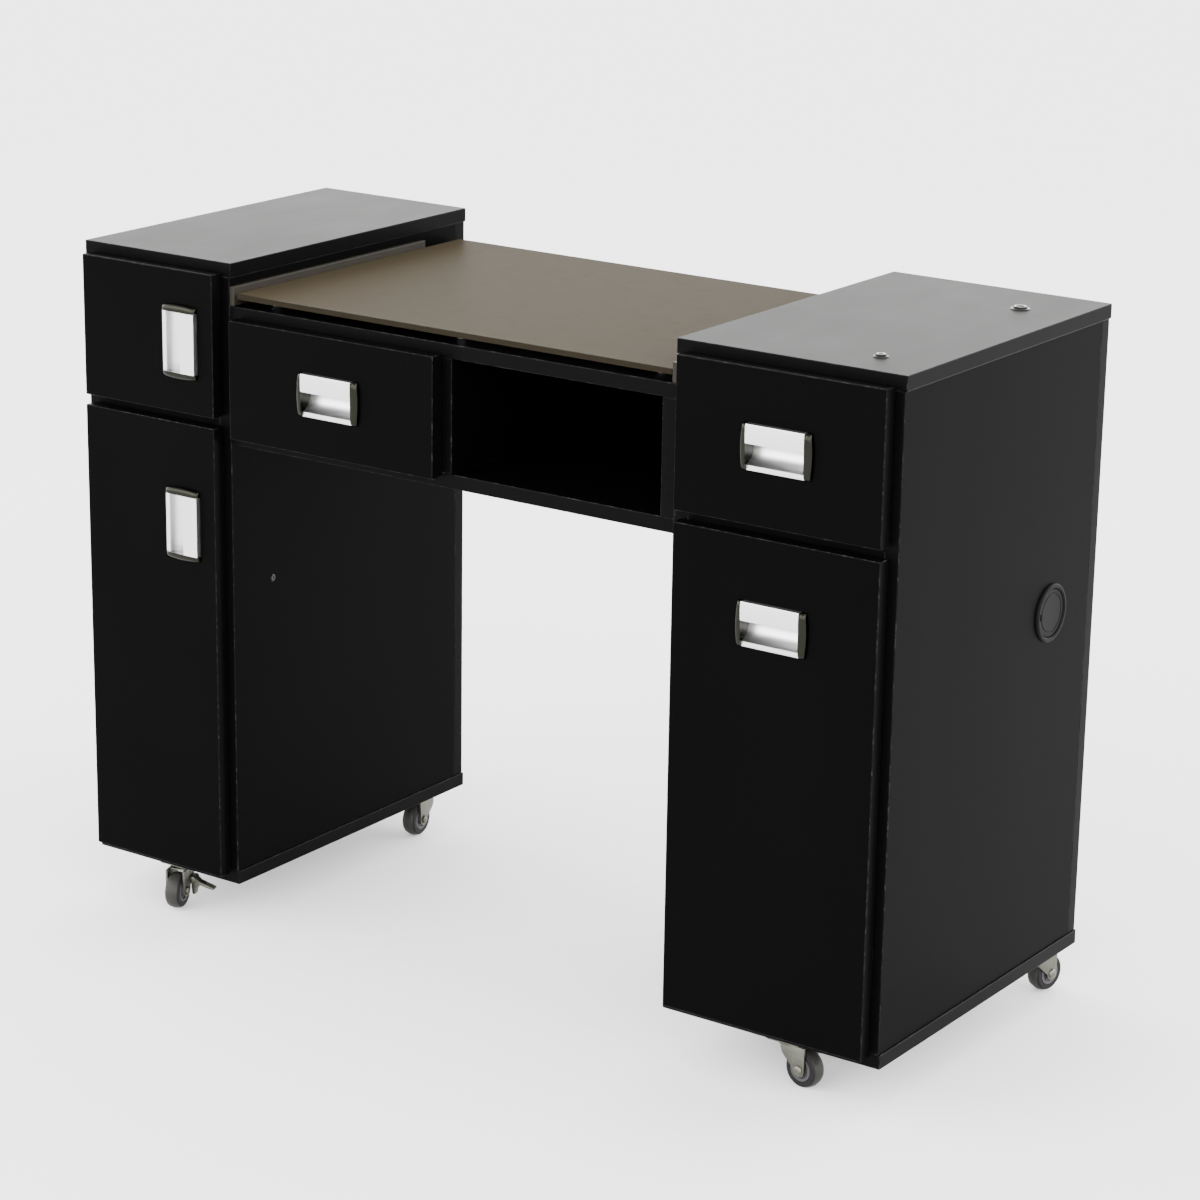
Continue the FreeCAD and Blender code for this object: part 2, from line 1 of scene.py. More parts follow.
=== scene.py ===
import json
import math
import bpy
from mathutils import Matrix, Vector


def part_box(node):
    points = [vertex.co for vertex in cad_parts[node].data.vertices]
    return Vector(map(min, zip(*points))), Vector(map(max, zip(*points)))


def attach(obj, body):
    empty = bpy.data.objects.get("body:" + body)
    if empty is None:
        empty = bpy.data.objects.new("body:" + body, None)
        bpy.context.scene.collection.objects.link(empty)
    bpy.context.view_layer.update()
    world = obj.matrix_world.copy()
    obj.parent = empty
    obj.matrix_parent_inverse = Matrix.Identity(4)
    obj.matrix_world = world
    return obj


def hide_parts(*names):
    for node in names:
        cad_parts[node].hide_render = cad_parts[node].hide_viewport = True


bl_info = {
    "name": "Manicure table",
    "version": (1, 0, 0),
    "blender": (4, 5, 0),
    "location": "View3D > Sidebar > Table",
    "description": "Builds the visible pieces of a two-pedestal manicure table round its frame",
    "category": "Object",
}

import bmesh
import bpy
from bpy.props import FloatProperty, FloatVectorProperty, IntProperty, PointerProperty
from mathutils import Matrix, Vector

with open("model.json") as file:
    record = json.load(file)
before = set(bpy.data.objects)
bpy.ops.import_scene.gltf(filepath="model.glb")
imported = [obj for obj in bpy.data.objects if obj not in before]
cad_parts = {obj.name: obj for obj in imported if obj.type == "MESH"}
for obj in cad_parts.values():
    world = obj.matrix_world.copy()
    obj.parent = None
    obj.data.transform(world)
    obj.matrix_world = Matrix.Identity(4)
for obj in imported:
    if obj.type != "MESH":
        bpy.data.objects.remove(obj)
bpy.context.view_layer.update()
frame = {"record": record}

MM = 0.001
DOORS = ("upper_door", "lower_door")
DRAWERS = ("upper_drawer", "lower_drawer", "centre_drawer")
CASTERS = ("front_left", "front_right", "rear_left_outer", "rear_left_inner", "rear_right_inner",
           "rear_right_outer")


def limits(node):
    """The lowest and highest corner of a frame node, as vectors."""
    low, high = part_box(node)
    return Vector(low), Vector(high)


def joint(name):
    """The record's entry for one joint."""
    for entry in frame["record"]["behaviour"]["joints"]:
        if entry["name"] == name:
            return entry
    raise KeyError(name)


BOARD = limits("left_top_board")[1].z - limits("left_top_board")[0].z
RUNNER_GAP = 12.5 * MM
BOX_WALL = 12.0 * MM
BOX_BOTTOM = 4.0 * MM
BOX_BOTTOM_LIFT = 6.0 * MM


# Sizes and colours that a user would change

def length(name, description, default):
    """A size in metres."""
    return FloatProperty(name=name, description=description, default=default, min=0.0, unit="LENGTH",
                         precision=5)


def share(name, description, default):
    """A number from 0 to 1."""
    return FloatProperty(name=name, description=description, default=default, min=0.0, max=1.0,
                         subtype="FACTOR")


def colour(name, description, default):
    """A linear colour."""
    return FloatVectorProperty(name=name, description=description, default=default, min=0.0, max=1.0,
                               size=3, subtype="COLOR")


class BoardSettings(bpy.types.PropertyGroup):
    """Laminate boards and fronts."""
    edge: length("Edge radius", "Rounding of the banded edges", 0.9 * MM)
    tint: colour("Laminate", "Colour of the black laminate", (0.0008, 0.0008, 0.00084))
    sheen: share("Roughness", "Roughness of the laminate", 0.3)


class PullSettings(bpy.types.PropertyGroup):
    """Flush pulls."""
    cap: length("Cap length", "Length of each end cap", 8.0 * MM)
    bulge: length("Cap bulge", "How far the end of a cap curves out", 2.0 * MM)
    lip: length("Lip height", "Height of the lip", 19.0 * MM)
    lip_skin: length("Lip thickness", "Thickness of the lip", 1.8 * MM)
    strip: length("Strip height", "Height of the strip at the far edge", 5.0 * MM)
    strip_proud: length("Strip rise", "How far the strip stands off the panel", 2.5 * MM)
    lap: length("Side lap", "How far the pull covers the panel beside its pocket", 2.0 * MM)
    end_lap: length("End lap", "How far the pull covers the panel at the ends of its pocket", 4.0 * MM)
    wall: length("Hollow wall", "Thickness of the hollow's wall", 1.5 * MM)
    metal: colour("Aluminium", "Colour of the satin centre", (0.6, 0.6, 0.6))
    smoke: colour("Chrome", "Colour of the smoked caps", (0.014, 0.014, 0.011))


class CasterSettings(bpy.types.PropertyGroup):
    """Casters."""
    tread: colour("Tread", "Colour of the tread", (0.016, 0.0155, 0.014))
    cover: colour("Hub cover", "Colour of the hub's side", (0.028, 0.025, 0.028))
    zinc: colour("Zinc", "Colour of the plated steel", (0.1, 0.1, 0.083))
    spokes: IntProperty(name="Hub ribs", description="Number of ribs in each hub", default=6, min=3, max=12)


class WorktopSettings(bpy.types.PropertyGroup):
    """Glass and its strips."""
    edge: length("Arris", "Ground edge of the glass", 0.7 * MM)
    glass: colour("Glass", "Colour of the tinted glass", (0.027, 0.0215, 0.0132))
    strip: colour("Strip", "Colour of the stop strips", (0.014, 0.012, 0.0095))


class StudioSettings(bpy.types.PropertyGroup):
    """Camera, floor and light."""
    lens: FloatProperty(name="Focal length", description="Camera lens in millimetres", default=106.4, min=1.0)
    floor: colour("Floor", "Colour of the floor", (0.86, 0.86, 0.86))
    sky: FloatProperty(name="Sky", description="Strength of the light from all round", default=9.6, min=0.0)


# Shader nodes

class Value:
    """A shader socket that takes part in arithmetic. Each operation adds one Math node."""

    def __init__(self, nodes, socket):
        self.nodes = nodes
        self.socket = socket

    def math(self, operation, first, second):
        return self.nodes.add("Math", {"operation": operation}, {0: first, 1: second})

    def __add__(self, other):
        return self.math("ADD", self, other)

    def __radd__(self, other):
        return self.math("ADD", other, self)

    def __mul__(self, other):
        return self.math("MULTIPLY", self, other)

    def __rmul__(self, other):
        return self.math("MULTIPLY", other, self)


class Nodes:
    """The node tree of one material or of the world."""

    def __init__(self, tree):
        self.tree = tree

    def add(self, kind, settings=None, sockets=None, output=0):
        """A node of a kind, its settings made first, then its sockets filled or linked."""
        made = self.tree.nodes.new("ShaderNode" + kind)
        for name, value in (settings or {}).items():
            if name == "stops":
                self.set_stops(made.color_ramp, value)
            else:
                setattr(made, name, value)
        for name, value in (sockets or {}).items():
            self.feed(made.inputs[name], value)
        return Value(self, made.outputs[output])

    def feed(self, socket, value):
        """Links a value to a socket, or sets the socket's own number or colour."""
        if isinstance(value, Value):
            self.tree.links.new(value.socket, socket)
        else:
            socket.default_value = value

    def set_stops(self, ramp, stops):
        """Gives a colour ramp its stops, as (place, grey level) pairs."""
        while len(ramp.elements) < len(stops):
            ramp.elements.new(0.5)
        for element, (place, level) in zip(ramp.elements, stops):
            element.position = place
            element.color = (level, level, level, 1.0)

    def place(self, stretch=(1.0, 1.0, 1.0)):
        """The point on the piece, in metres, stretched along its axes."""
        point = self.add("TexCoord", output="Object")
        return self.add("Mapping", {"vector_type": "POINT"}, {"Vector": point, "Scale": stretch})

    def noise(self, size, detail=3.0, stretch=(1.0, 1.0, 1.0), rough=0.5):
        """Soft noise from 0 to 1 whose blotches are about size metres across."""
        return self.add("TexNoise", {}, {"Vector": self.place(stretch), "Scale": 1.0 / size, "Detail": detail,
                                         "Roughness": rough})

    def cells(self, size):
        """The distance to the nearest centre of a random cell pattern."""
        return self.add("TexVoronoi", {"feature": "F1"}, {"Vector": self.place(), "Scale": 1.0 / size})

    def ramp(self, factor, *stops):
        """A value remapped through a ramp of (place, level) stops."""
        return self.add("ValToRGB", {"stops": stops}, {"Fac": factor})

    def blend(self, factor, low, high):
        """A colour between two colours."""
        return self.add("Mix", {"data_type": "RGBA"}, {0: factor, 6: low, 7: high}, output=2)

    def bump(self, height, distance, strength):
        """A surface normal from a height."""
        return self.add("Bump", {}, {"Height": height, "Distance": distance, "Strength": strength})

    def height(self):
        """The height above the floor, in metres."""
        point = self.add("TexCoord", output="Object")
        return self.add("SeparateXYZ", {}, {"Vector": point}, output="Z")

    def up(self):
        """How far the surface faces upwards, from 0 to 1."""
        normal = self.add("TexCoord", output="Normal")
        facing = self.add("SeparateXYZ", {}, {"Vector": normal}, output="Z")
        return self.add("Math", {"operation": "MAXIMUM"}, {0: facing, 1: 0.0})


def rgba(values, factor=1.0):
    """A linear colour with its alpha, brightened or darkened."""
    return tuple(min(1.0, value * factor) for value in values) + (1.0,)


def finish_for(name, constants, make):
    """A material whose constants are set on its shader, and whose varied sockets make returns."""
    title = name + "_finish"
    found = bpy.data.materials.get(title)
    if found:
        return found
    material = bpy.data.materials.new(title)
    material.use_nodes = True
    shader = material.node_tree.nodes["Principled BSDF"]
    for socket, value in constants.items():
        shader.inputs[socket].default_value = value
    nodes = Nodes(material.node_tree)
    for socket, value in make(nodes).items():
        nodes.feed(shader.inputs[socket], value)
    return material


# The pale tint on the open tops, from this height up, is partly dust and partly painted sheen that lightens
# the tops as their reflection would.
DUST_AND_SHEEN_FROM = 0.7
DUST_AND_SHEEN_FULL = 0.72
DUST_AND_SHEEN_SHARE = 0.14


def laminate():
    """Black melamine laminate with a fine pearl grain and faint wipe marks, and a pale tint on the open tops
    that is partly dust and partly painted sheen.
    """
    settings = bpy.context.scene.table_boards

    def make(nodes):
        cloud = nodes.noise(0.22, 2.0)
        wipe = nodes.noise(0.03, 4.0, (1.0, 0.35, 0.12), 0.6)
        streak = nodes.noise(0.035, 5.0, (0.3, 1.0, 1.0), 0.65)
        dust_and_sheen_patches = nodes.ramp(nodes.noise(0.012, 6.0, rough=0.7), (0.3, 0.6), (0.75, 1.0))
        open_top = nodes.ramp(nodes.height(), (DUST_AND_SHEEN_FROM, 0.0), (DUST_AND_SHEEN_FULL, 1.0))
        dust_and_sheen = nodes.up() * open_top * dust_and_sheen_patches * (0.75 + streak * 0.5)
        pearl = nodes.noise(0.0011, 3.0, rough=0.6)
        fine = nodes.noise(0.00035, 2.0)
        dark = nodes.blend(cloud, rgba(settings.tint, 0.75), rgba(settings.tint, 1.3))
        return {
            # Up-facing tops are blended towards pale grey: partly dust, partly painted sheen.
            "Base Color": nodes.blend(dust_and_sheen * DUST_AND_SHEEN_SHARE, dark, (0.11, 0.108, 0.1, 1.0)),
            "Roughness": settings.sheen + cloud * 0.05 + wipe * 0.07 + dust_and_sheen * 0.06,
            "Normal": nodes.bump(pearl * 0.8 + fine * 0.2, 0.00006, 0.55),
        }

    return finish_for("black_laminate", {"Specular IOR Level": 0.011}, make)


def edge_band():
    """The black strip glued to the edges of a board: smoother than the faces, with scraper marks along it."""
    settings = bpy.context.scene.table_boards

    def make(nodes):
        along = nodes.noise(0.0016, 3.0, (1.0, 1.0, 0.03))
        across = nodes.noise(0.0016, 3.0, (0.03, 1.0, 1.0))
        marks = along * across
        return {
            "Base Color": nodes.blend(marks, rgba(settings.tint, 1.1), rgba(settings.tint, 2.2)),
            "Roughness": settings.sheen + 0.02 + marks * 0.2,
            "Normal": nodes.bump(marks, 0.00005, 0.4),
        }

    return finish_for("edge_band", {"Specular IOR Level": 0.02}, make)


def worn_corner():
    """The rounded arris of a board, rubbed a little lighter in places."""
    settings = bpy.context.scene.table_boards

    def make(nodes):
        rub = nodes.ramp(nodes.noise(0.006, 8.0, rough=0.75), (0.5, 0.0), (0.68, 1.0))
        long = nodes.noise(0.15, 2.0)
        worn = rub * long
        return {
            "Base Color": nodes.blend(worn, rgba(settings.tint, 2.0), (0.035, 0.0345, 0.033, 1.0)),
            "Roughness": 0.3 + worn * 0.25,
            "Normal": nodes.bump(rub, 0.00004, 0.5),
        }

    return finish_for("worn_corner", {"Specular IOR Level": 0.03}, make)


def satin_aluminium():
    """Anodised aluminium, brushed along the pull."""
    settings = bpy.context.scene.table_pulls

    def make(nodes):
        lines = nodes.noise(0.0005, 4.0, (0.04, 1.0, 1.0), 0.65)
        haze = nodes.noise(0.02, 3.0)
        return {
            "Base Color": nodes.blend(haze, rgba(settings.metal, 0.95), rgba(settings.metal)),
            "Roughness": 0.24 + lines * 0.1 + haze * 0.05,
            "Normal": nodes.bump(lines, 0.00004, 0.35),
        }

    return finish_for("satin_aluminium", {"Metallic": 1.0}, make)


def smoked_chrome():
    """Dark chrome plating with faint hairlines."""
    settings = bpy.context.scene.table_pulls

    def make(nodes):
        hairs = nodes.ramp(nodes.noise(0.0007, 5.0, (1.0, 1.0, 0.08), 0.7), (0.6, 0.0), (0.75, 1.0))
        haze = nodes.noise(0.008, 3.0)
        return {
            "Base Color": nodes.blend(haze, rgba(settings.smoke, 0.85), rgba(settings.smoke, 1.15)),
            "Roughness": 0.1 + haze * 0.06 + hairs * 0.12,
            "Normal": nodes.bump(hairs, 0.00002, 0.3),
        }

    return finish_for("smoked_chrome", {"Metallic": 1.0}, make)


def plated_steel(name, tint, rough, spangle):
    """Pressed steel with a mottled plating, darker and duller in patches."""
    def make(nodes):
        grain = nodes.cells(spangle)
        cloud = nodes.noise(0.006, 4.0)
        fine = nodes.noise(0.0008, 3.0)
        return {
            "Base Color": nodes.blend(cloud * 0.7 + grain * 0.3, rgba(tint, 0.72), rgba(tint, 1.12)),
            "Roughness": rough + cloud * 0.14 + fine * 0.08,
            "Normal": nodes.bump(fine * 0.6 + grain * 0.4, 0.00006, 0.4),
        }

    return finish_for(name, {"Metallic": 1.0}, make)


def zinc():
    """Zinc-plated caster steel."""
    return plated_steel("zinc_plate", bpy.context.scene.table_casters.zinc, 0.3, 0.0022)


def nickel():
    """Nickel-plated hinge and runner steel."""
    return plated_steel("nickel_plate", (0.6, 0.6, 0.59), 0.22, 0.0009)


def moulded(name, tint, rough, grain=0.0009, level=0.5):
    """Moulded plastic or rubber with a fine spark-eroded grain."""
    def make(nodes):
        skin = nodes.noise(grain, 4.0, rough=0.6)
        cloud = nodes.noise(0.012, 3.0)
        return {
            "Base Color": nodes.blend(cloud, rgba(tint, 0.85), rgba(tint, 1.15)),
            "Roughness": rough + cloud * 0.1 + skin * 0.06,
            "Normal": nodes.bump(skin, 0.00008, 0.4),
        }

    return finish_for(name, {"Specular IOR Level": level}, make)


def screw_recess_shade():
    """The dark cross on a screw head: painted shade standing in for the shadow inside its cross recess."""
    # A dark moulded finish used as painted shade, not as the screw's own colour.
    return moulded("screw_dark", (0.02, 0.02, 0.02), 0.5)


def tread_rubber():
    """The running surface of a tyre: dark grey and scuffed."""
    tint = bpy.context.scene.table_casters.tread

    def make(nodes):
        scuff = nodes.ramp(nodes.noise(0.004, 7.0, rough=0.75), (0.4, 0.0), (0.7, 1.0))
        skin = nodes.noise(0.0007, 4.0)
        return {
            "Base Color": nodes.blend(scuff, rgba(tint, 0.8), rgba(tint, 1.2)),
            "Roughness": 0.42 + scuff * 0.2,
            "Normal": nodes.bump(skin * 0.5 + scuff * 0.5, 0.00012, 0.5),
        }

    return finish_for("tread_rubber", {"Specular IOR Level": 0.15}, make)


def bronze_glass():
    """The bronze worktop glass as it reads over the dark desk board: opaque and satin, faintly marked."""
    settings = bpy.context.scene.table_worktop

    def make(nodes):
        marks = nodes.ramp(nodes.noise(0.02, 5.0, rough=0.65), (0.5, 0.0), (0.8, 1.0))
        cloud = nodes.noise(0.25, 2.0)
        return {
            "Base Color": nodes.blend(cloud, rgba(settings.glass, 0.94), rgba(settings.glass, 1.06)),
            "Roughness": 0.46 + marks * 0.06 + cloud * 0.04,
            "Normal": nodes.bump(nodes.noise(0.0025, 3.0), 0.00012, 0.5),
        }

    constants = {"Specular IOR Level": 0.0035, "Specular Tint": rgba((0.86, 0.78, 0.64))}
    return finish_for("bronze_glass", constants, make)


def glass_edge():
    """The ground and polished edge of the glass, darker than its face."""
    settings = bpy.context.scene.table_worktop

    def make(nodes):
        lines = nodes.noise(0.0012, 3.0, (0.05, 0.05, 1.0))
        return {
            "Base Color": nodes.blend(lines, rgba(settings.glass, 0.25), rgba(settings.glass, 0.5)),
            "Roughness": 0.1 + lines * 0.12,
            "Normal": nodes.bump(lines, 0.00003, 0.3),
        }

    return finish_for("glass_edge", {"Specular IOR Level": 0.02}, make)


def clear_rubber():
    """The soft clear bumper under the glass."""
    def make(nodes):
        cloud = nodes.noise(0.003, 3.0)
        return {
            "Base Color": nodes.blend(cloud, (0.62, 0.62, 0.6, 1.0), (0.75, 0.75, 0.73, 1.0)),
            "Roughness": 0.25 + cloud * 0.15,
            "Normal": nodes.bump(cloud, 0.00006, 0.4),
        }

    return finish_for("clear_rubber", {"Transmission Weight": 0.6, "IOR": 1.45}, make)


# Mesh building

def block(bm, low, high, edge, steps=3, parts=(0, 0, 0)):
    """A board or bar with rounded edges. parts gives the slots of its faces, edges and arrises."""
    low, high = Vector(low), Vector(high)
    size = high - low
    thin = min(range(3), key=lambda axis: size[axis])
    place = Matrix.LocRotScale((low + high) / 2, None, size)
    corners = bmesh.ops.create_cube(bm, size=1.0, matrix=place)["verts"]
    faces = {face for corner in corners for face in corner.link_faces}
    for face in faces:
        face.normal_update()
        face.material_index = parts[0] if abs(face.normal[thin]) > 0.5 else parts[1]
    edges = list({rim for face in faces for rim in face.edges})
    rounded = bmesh.ops.bevel(bm, geom=edges, offset=edge, segments=steps, profile=0.5, affect="EDGES",
                              clamp_overlap=True)
    for face in rounded["faces"]:
        face.material_index = parts[2]


def arc(centre, radius, start, end, steps=6):
    """Points along an arc, from one angle to another in degrees."""
    points = []
    for step in range(steps + 1):
        angle = math.radians(start + (end - start) * step / steps)
        points.append((centre[0] + radius * math.cos(angle), centre[1] + radius * math.sin(angle)))
    return points


def arc_through(first, middle, last, steps=12):
    """Points along the arc that passes through three points, without the first one."""
    (ax, ay), (bx, by), (cx, cy) = first, middle, last
    twice = 2 * (ax * (by - cy) + bx * (cy - ay) + cx * (ay - by))
    a, b, c = ax * ax + ay * ay, bx * bx + by * by, cx * cx + cy * cy
    centre = ((a * (by - cy) + b * (cy - ay) + c * (ay - by)) / twice,
              (a * (cx - bx) + b * (ax - cx) + c * (bx - ax)) / twice)
    angles = [math.atan2(y - centre[1], x - centre[0]) for x, y in (first, middle, last)]
    sweep = (angles[2] - angles[0]) % (2 * math.pi)
    if (angles[1] - angles[0]) % (2 * math.pi) > sweep:
        sweep -= 2 * math.pi
    radius = math.hypot(ax - centre[0], ay - centre[1])
    start = math.degrees(angles[0])
    return arc(centre, radius, start, start + math.degrees(sweep), steps)[1:]


def lathe(bm, outline, place, slot=0, steps=48, closed=False):
    """Turns an outline of (radius, height) points about the local Z axis."""
    rings = []
    for radius, height in outline:
        if radius < 1e-7:
            rings.append([bm.verts.new(place @ Vector((0.0, 0.0, height)))])
            continue
        ring = []
        for step in range(steps):
            angle = 2 * math.pi * step / steps
            spot = Vector((radius * math.cos(angle), radius * math.sin(angle), height))
            ring.append(bm.verts.new(place @ spot))
        rings.append(ring)
    pairs = list(zip(rings, rings[1:]))
    if closed:
        pairs.append((rings[-1], rings[0]))
    for low, high in pairs:
        for step in range(steps):
            after = (step + 1) % steps
            corners = [low[step % len(low)], low[after % len(low)]]
            corners += [high[after % len(high)], high[step % len(high)]]
            unique = list(dict.fromkeys(corners))
            if len(unique) > 2:
                bm.faces.new(unique).material_index = slot


def prism(bm, outline, place, depth, edge=0.0, slot=0, steps=2):
    """A flat outline of local (x, y) points pushed along local Z, its rims rounded."""
    bottom = [bm.verts.new(place @ Vector((x, y, 0.0))) for x, y in outline]
    top = [bm.verts.new(place @ Vector((x, y, depth))) for x, y in outline]
    faces = [bm.faces.new(list(reversed(bottom))), bm.faces.new(top)]
    rims = list(faces[0].edges) + list(faces[1].edges)
    for index in range(len(outline)):
        after = (index + 1) % len(outline)
        faces.append(bm.faces.new([bottom[index], bottom[after], top[after], top[index]]))
    for face in faces:
        face.material_index = slot
    if edge > 0:
        rounded = bmesh.ops.bevel(bm, geom=rims, offset=edge, segments=steps, profile=0.5, affect="EDGES",
                                  clamp_overlap=True)
        for face in rounded["faces"]:
            face.material_index = slot


def piece(name, bm, finishes, body, replaces=(), level=False, angle=35.0):
    """Makes a named object of the mesh, puts it on its body and lets it stand for frame nodes."""
    bmesh.ops.recalc_face_normals(bm, faces=list(bm.faces))
    mesh = bpy.data.meshes.new(name)
    bm.to_mesh(mesh)
    bm.free()
    for finish in finishes:
        mesh.materials.append(finish)
    made = bpy.data.objects.new(name, mesh)
    bpy.context.scene.collection.objects.link(made)
    shade(made, level, angle)
    if replaces:
        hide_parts(*replaces)
    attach(made, body)
    return made


def shade(made, level, angle):
    """Smooth shading with sharp creases. level keeps large faces flat between rounded edges."""
    made.data.shade_smooth()
    if level:
        flatten = made.modifiers.new("level_faces", "WEIGHTED_NORMAL")
        flatten.keep_sharp = True
        flatten.weight = 80
    else:
        made.data.set_sharp_from_angle(angle=math.radians(angle))


def carved(bm, cutters):
    """The mesh with other closed meshes cut out of it. The cutters are used up."""
    def temporary(mesh_data, name):
        mesh = bpy.data.meshes.new(name)
        mesh_data.to_mesh(mesh)
        mesh_data.free()
        made = bpy.data.objects.new(name, mesh)
        bpy.context.scene.collection.objects.link(made)
        return made

    stock = temporary(bm, "stock")
    tools = [temporary(cutter, "cutter") for cutter in cutters]
    for tool in tools:
        cut = stock.modifiers.new("cut", "BOOLEAN")
        cut.operation = "DIFFERENCE"
        cut.solver = "EXACT"
        cut.object = tool
    seen = stock.evaluated_get(bpy.context.evaluated_depsgraph_get())
    result = bmesh.new()
    result.from_mesh(seen.to_mesh())
    seen.to_mesh_clear()
    for made in [stock] + tools:
        mesh = made.data
        bpy.data.objects.remove(made)
        bpy.data.meshes.remove(mesh)
    return result


def add_mesh(bm, part, place=None):
    """Puts another mesh into this one, moved to a place if one is given. The other one is used up."""
    if place:
        part.transform(place)
    mesh = bpy.data.meshes.new("part")
    part.to_mesh(mesh)
    part.free()
    bm.from_mesh(mesh)
    bpy.data.meshes.remove(mesh)


def along(axis, origin):
    """A frame whose local Z points along a row axis."""
    turn = Vector(axis).to_track_quat("Z", "Y").to_matrix().to_4x4()
    return Matrix.Translation(Vector(origin)) @ turn


def round_cutter(radius, start, end):
    """A cylinder to cut a hole with, from one point to another."""
    bm = bmesh.new()
    reach = Vector(end) - Vector(start)
    lathe(bm, [(0, 0), (radius, 0), (radius, reach.length), (0, reach.length)], along(reach, start), steps=64)
    return bm


def screw_head(bm, place, radius, slot=0):
    """A pan-head screw with a dark cross of painted shade standing a touch proud of its top where the recess
    would be, its top along local Z.
    """
    rise = radius * 0.55
    dome = [(radius, 0.0), (radius, rise * 0.35), (radius * 0.82, rise * 0.8), (radius * 0.55, rise)]
    dome += [(0.0, rise)]
    lathe(bm, [(0.0, -rise * 0.1)] + dome, place, slot, steps=24)
    # Two thin bars in the next slot make the cross; their dark finish is painted shade, not a cut recess.
    bar = radius * 0.16
    for long, short in ((radius * 0.5, bar), (bar, radius * 0.5)):
        corners = [(-long, -short), (long, -short), (long, short), (-long, short)]
        sunk = place @ Matrix.Translation((0, 0, rise * 0.93))
        prism(bm, corners, sunk, rise * 0.1, slot=slot + 1)


def board_finishes():
    """Faces, banded edges and arrises of every board."""
    return [laminate(), edge_band(), worn_corner()]


def board_piece(name, spans, body, nodes, cutters=()):
    """One visible piece made of laminate boards, each a (low, high) pair."""
    bm = bmesh.new()
    edge = bpy.context.scene.table_boards.edge
    for low, high in spans:
        block(bm, low, high, edge, 3, (0, 1, 2))
    if cutters:
        bm = carved(bm, cutters)
    return piece(name, bm, board_finishes(), body, nodes, level=True)


# Carcass

def pedestal_boards(side):
    """Top, bottom, back and both sides of one pedestal."""
    for part in ("top_board", "bottom_board", "back_panel"):
        node = side + "_" + part
        cutters = []
        if node == "right_top_board":
            cutters = [socket_cutter(centre, wall) for centre, wall, _ in socket_sizes()]
        board_piece(node + "_skin", [limits(node)], "carcass", [node], cutters)
    low, high = limits(side + "_side_panels")
    left = (low, Vector((low.x + BOARD, high.y, high.z)))
    right = (Vector((high.x - BOARD, low.y, low.z)), high)
    cutters = []
    if side == "right":
        centre, radius = grommet_place()
        cutters = [round_cutter(radius, centre - Vector((2 * BOARD, 0, 0)), centre + Vector((BOARD, 0, 0)))]
    board_piece(side + "_side_panels_skin", [left, right], "carcass", [side + "_side_panels"], cutters)


def shelf_boards():
    """The fixed shelf of each pedestal."""
    low, high = limits("pedestal_shelves")
    spans = []
    for side in ("left", "right"):
        wide_low, wide_high = limits(side + "_side_panels")
        start = Vector((wide_low.x + BOARD, low.y, low.z))
        spans.append((start, Vector((wide_high.x - BOARD, high.y, high.z))))
    board_piece("pedestal_shelves_skin", spans, "carcass", ["pedestal_shelves"])


def centre_boards():
    """The shallow unit that joins the pedestals."""
    for node in ("desk_board", "centre_bottom_board", "centre_back_panel"):
        board_piece(node + "_skin", [limits(node)], "carcass", [node])
    low, high = limits("centre_uprights")
    divider = limits("centre_drawer_box")[1].x + RUNNER_GAP
    spans = []
    for start, end in ((low.x, limits("centre_drawer_box")[0].x - RUNNER_GAP), (divider, divider + BOARD),
                       (high.x - BOARD - limits("left_top_board")[1].x + low.x, high.x)):
        spans.append((Vector((start, low.y, low.z)), Vector((end, high.y, high.z))))
    board_piece("centre_uprights_skin", spans, "carcass", ["centre_uprights"])


class TABLE_OT_carcass(bpy.types.Operator):
    """Build the laminate boards of both pedestals and the centre unit"""
    bl_idname = "table.carcass"
    bl_label = "Carcass boards"

    def execute(self, context):
        pedestal_boards("left")
        pedestal_boards("right")
        shelf_boards()
        centre_boards()
        return {"FINISHED"}


# Doors and drawer fronts

def pull_frame(name, panel):
    """The local frame of a pull: X along it, Y towards its lip, Z out of the panel; and its half sizes."""
    low, high = limits(name + "_handle_caps")
    face = limits(panel)[0].y
    standing = high.z - low.z > high.x - low.x
    along_x, along_y = ((0, 0, -1), (1, 0, 0)) if standing else ((1, 0, 0), (0, 0, 1))
    turn = Matrix((along_x, along_y, (0, -1, 0))).transposed().to_4x4()
    middle = Vector(((low.x + high.x) / 2, face, (low.z + high.z) / 2))
    long, wide = ((high.z - low.z) / 2, (high.x - low.x) / 2)
    if not standing:
        long, wide = wide, long
    proud = face - low.y
    deep = high.y - face
    return Matrix.Translation(middle) @ turn, long, wide, proud, deep


def pocket_cutter(name, panel):
    """The routed pocket behind a pull."""
    settings = bpy.context.scene.table_pulls
    place, long, wide, proud, deep = pull_frame(name, panel)
    bm = bmesh.new()
    u, v = long - settings.end_lap, wide - settings.lap
    prism(bm, [(-u, -v), (u, -v), (u, v), (-u, v)], place @ Matrix.Translation((0, 0, -deep)), deep + proud)
    return bm


def front_panels():
    """The doors and drawer fronts, with their pockets and hinge bores."""
    for name in DRAWERS:
        node = name + "_front"
        board_piece(node + "_skin", [limits(node)], name, [node], [pocket_cutter(name, node)])
    for name in DOORS:
        node = name + "_panel"
        cutters = [pocket_cutter(name, node)]
        for centre, radius, deep, back in hinge_cups(name):
            cutters.append(round_cutter(radius, centre - Vector((0, deep, 0)), centre + Vector((0, back, 0))))
        board_piece(node + "_skin", [limits(node)], name, [node], cutters)


class TABLE_OT_fronts(bpy.types.Operator):
    """Build the doors and drawer fronts"""
    bl_idname = "table.fronts"
    bl_label = "Doors and fronts"

    def execute(self, context):
        front_panels()
        return {"FINISHED"}


# Flush pulls

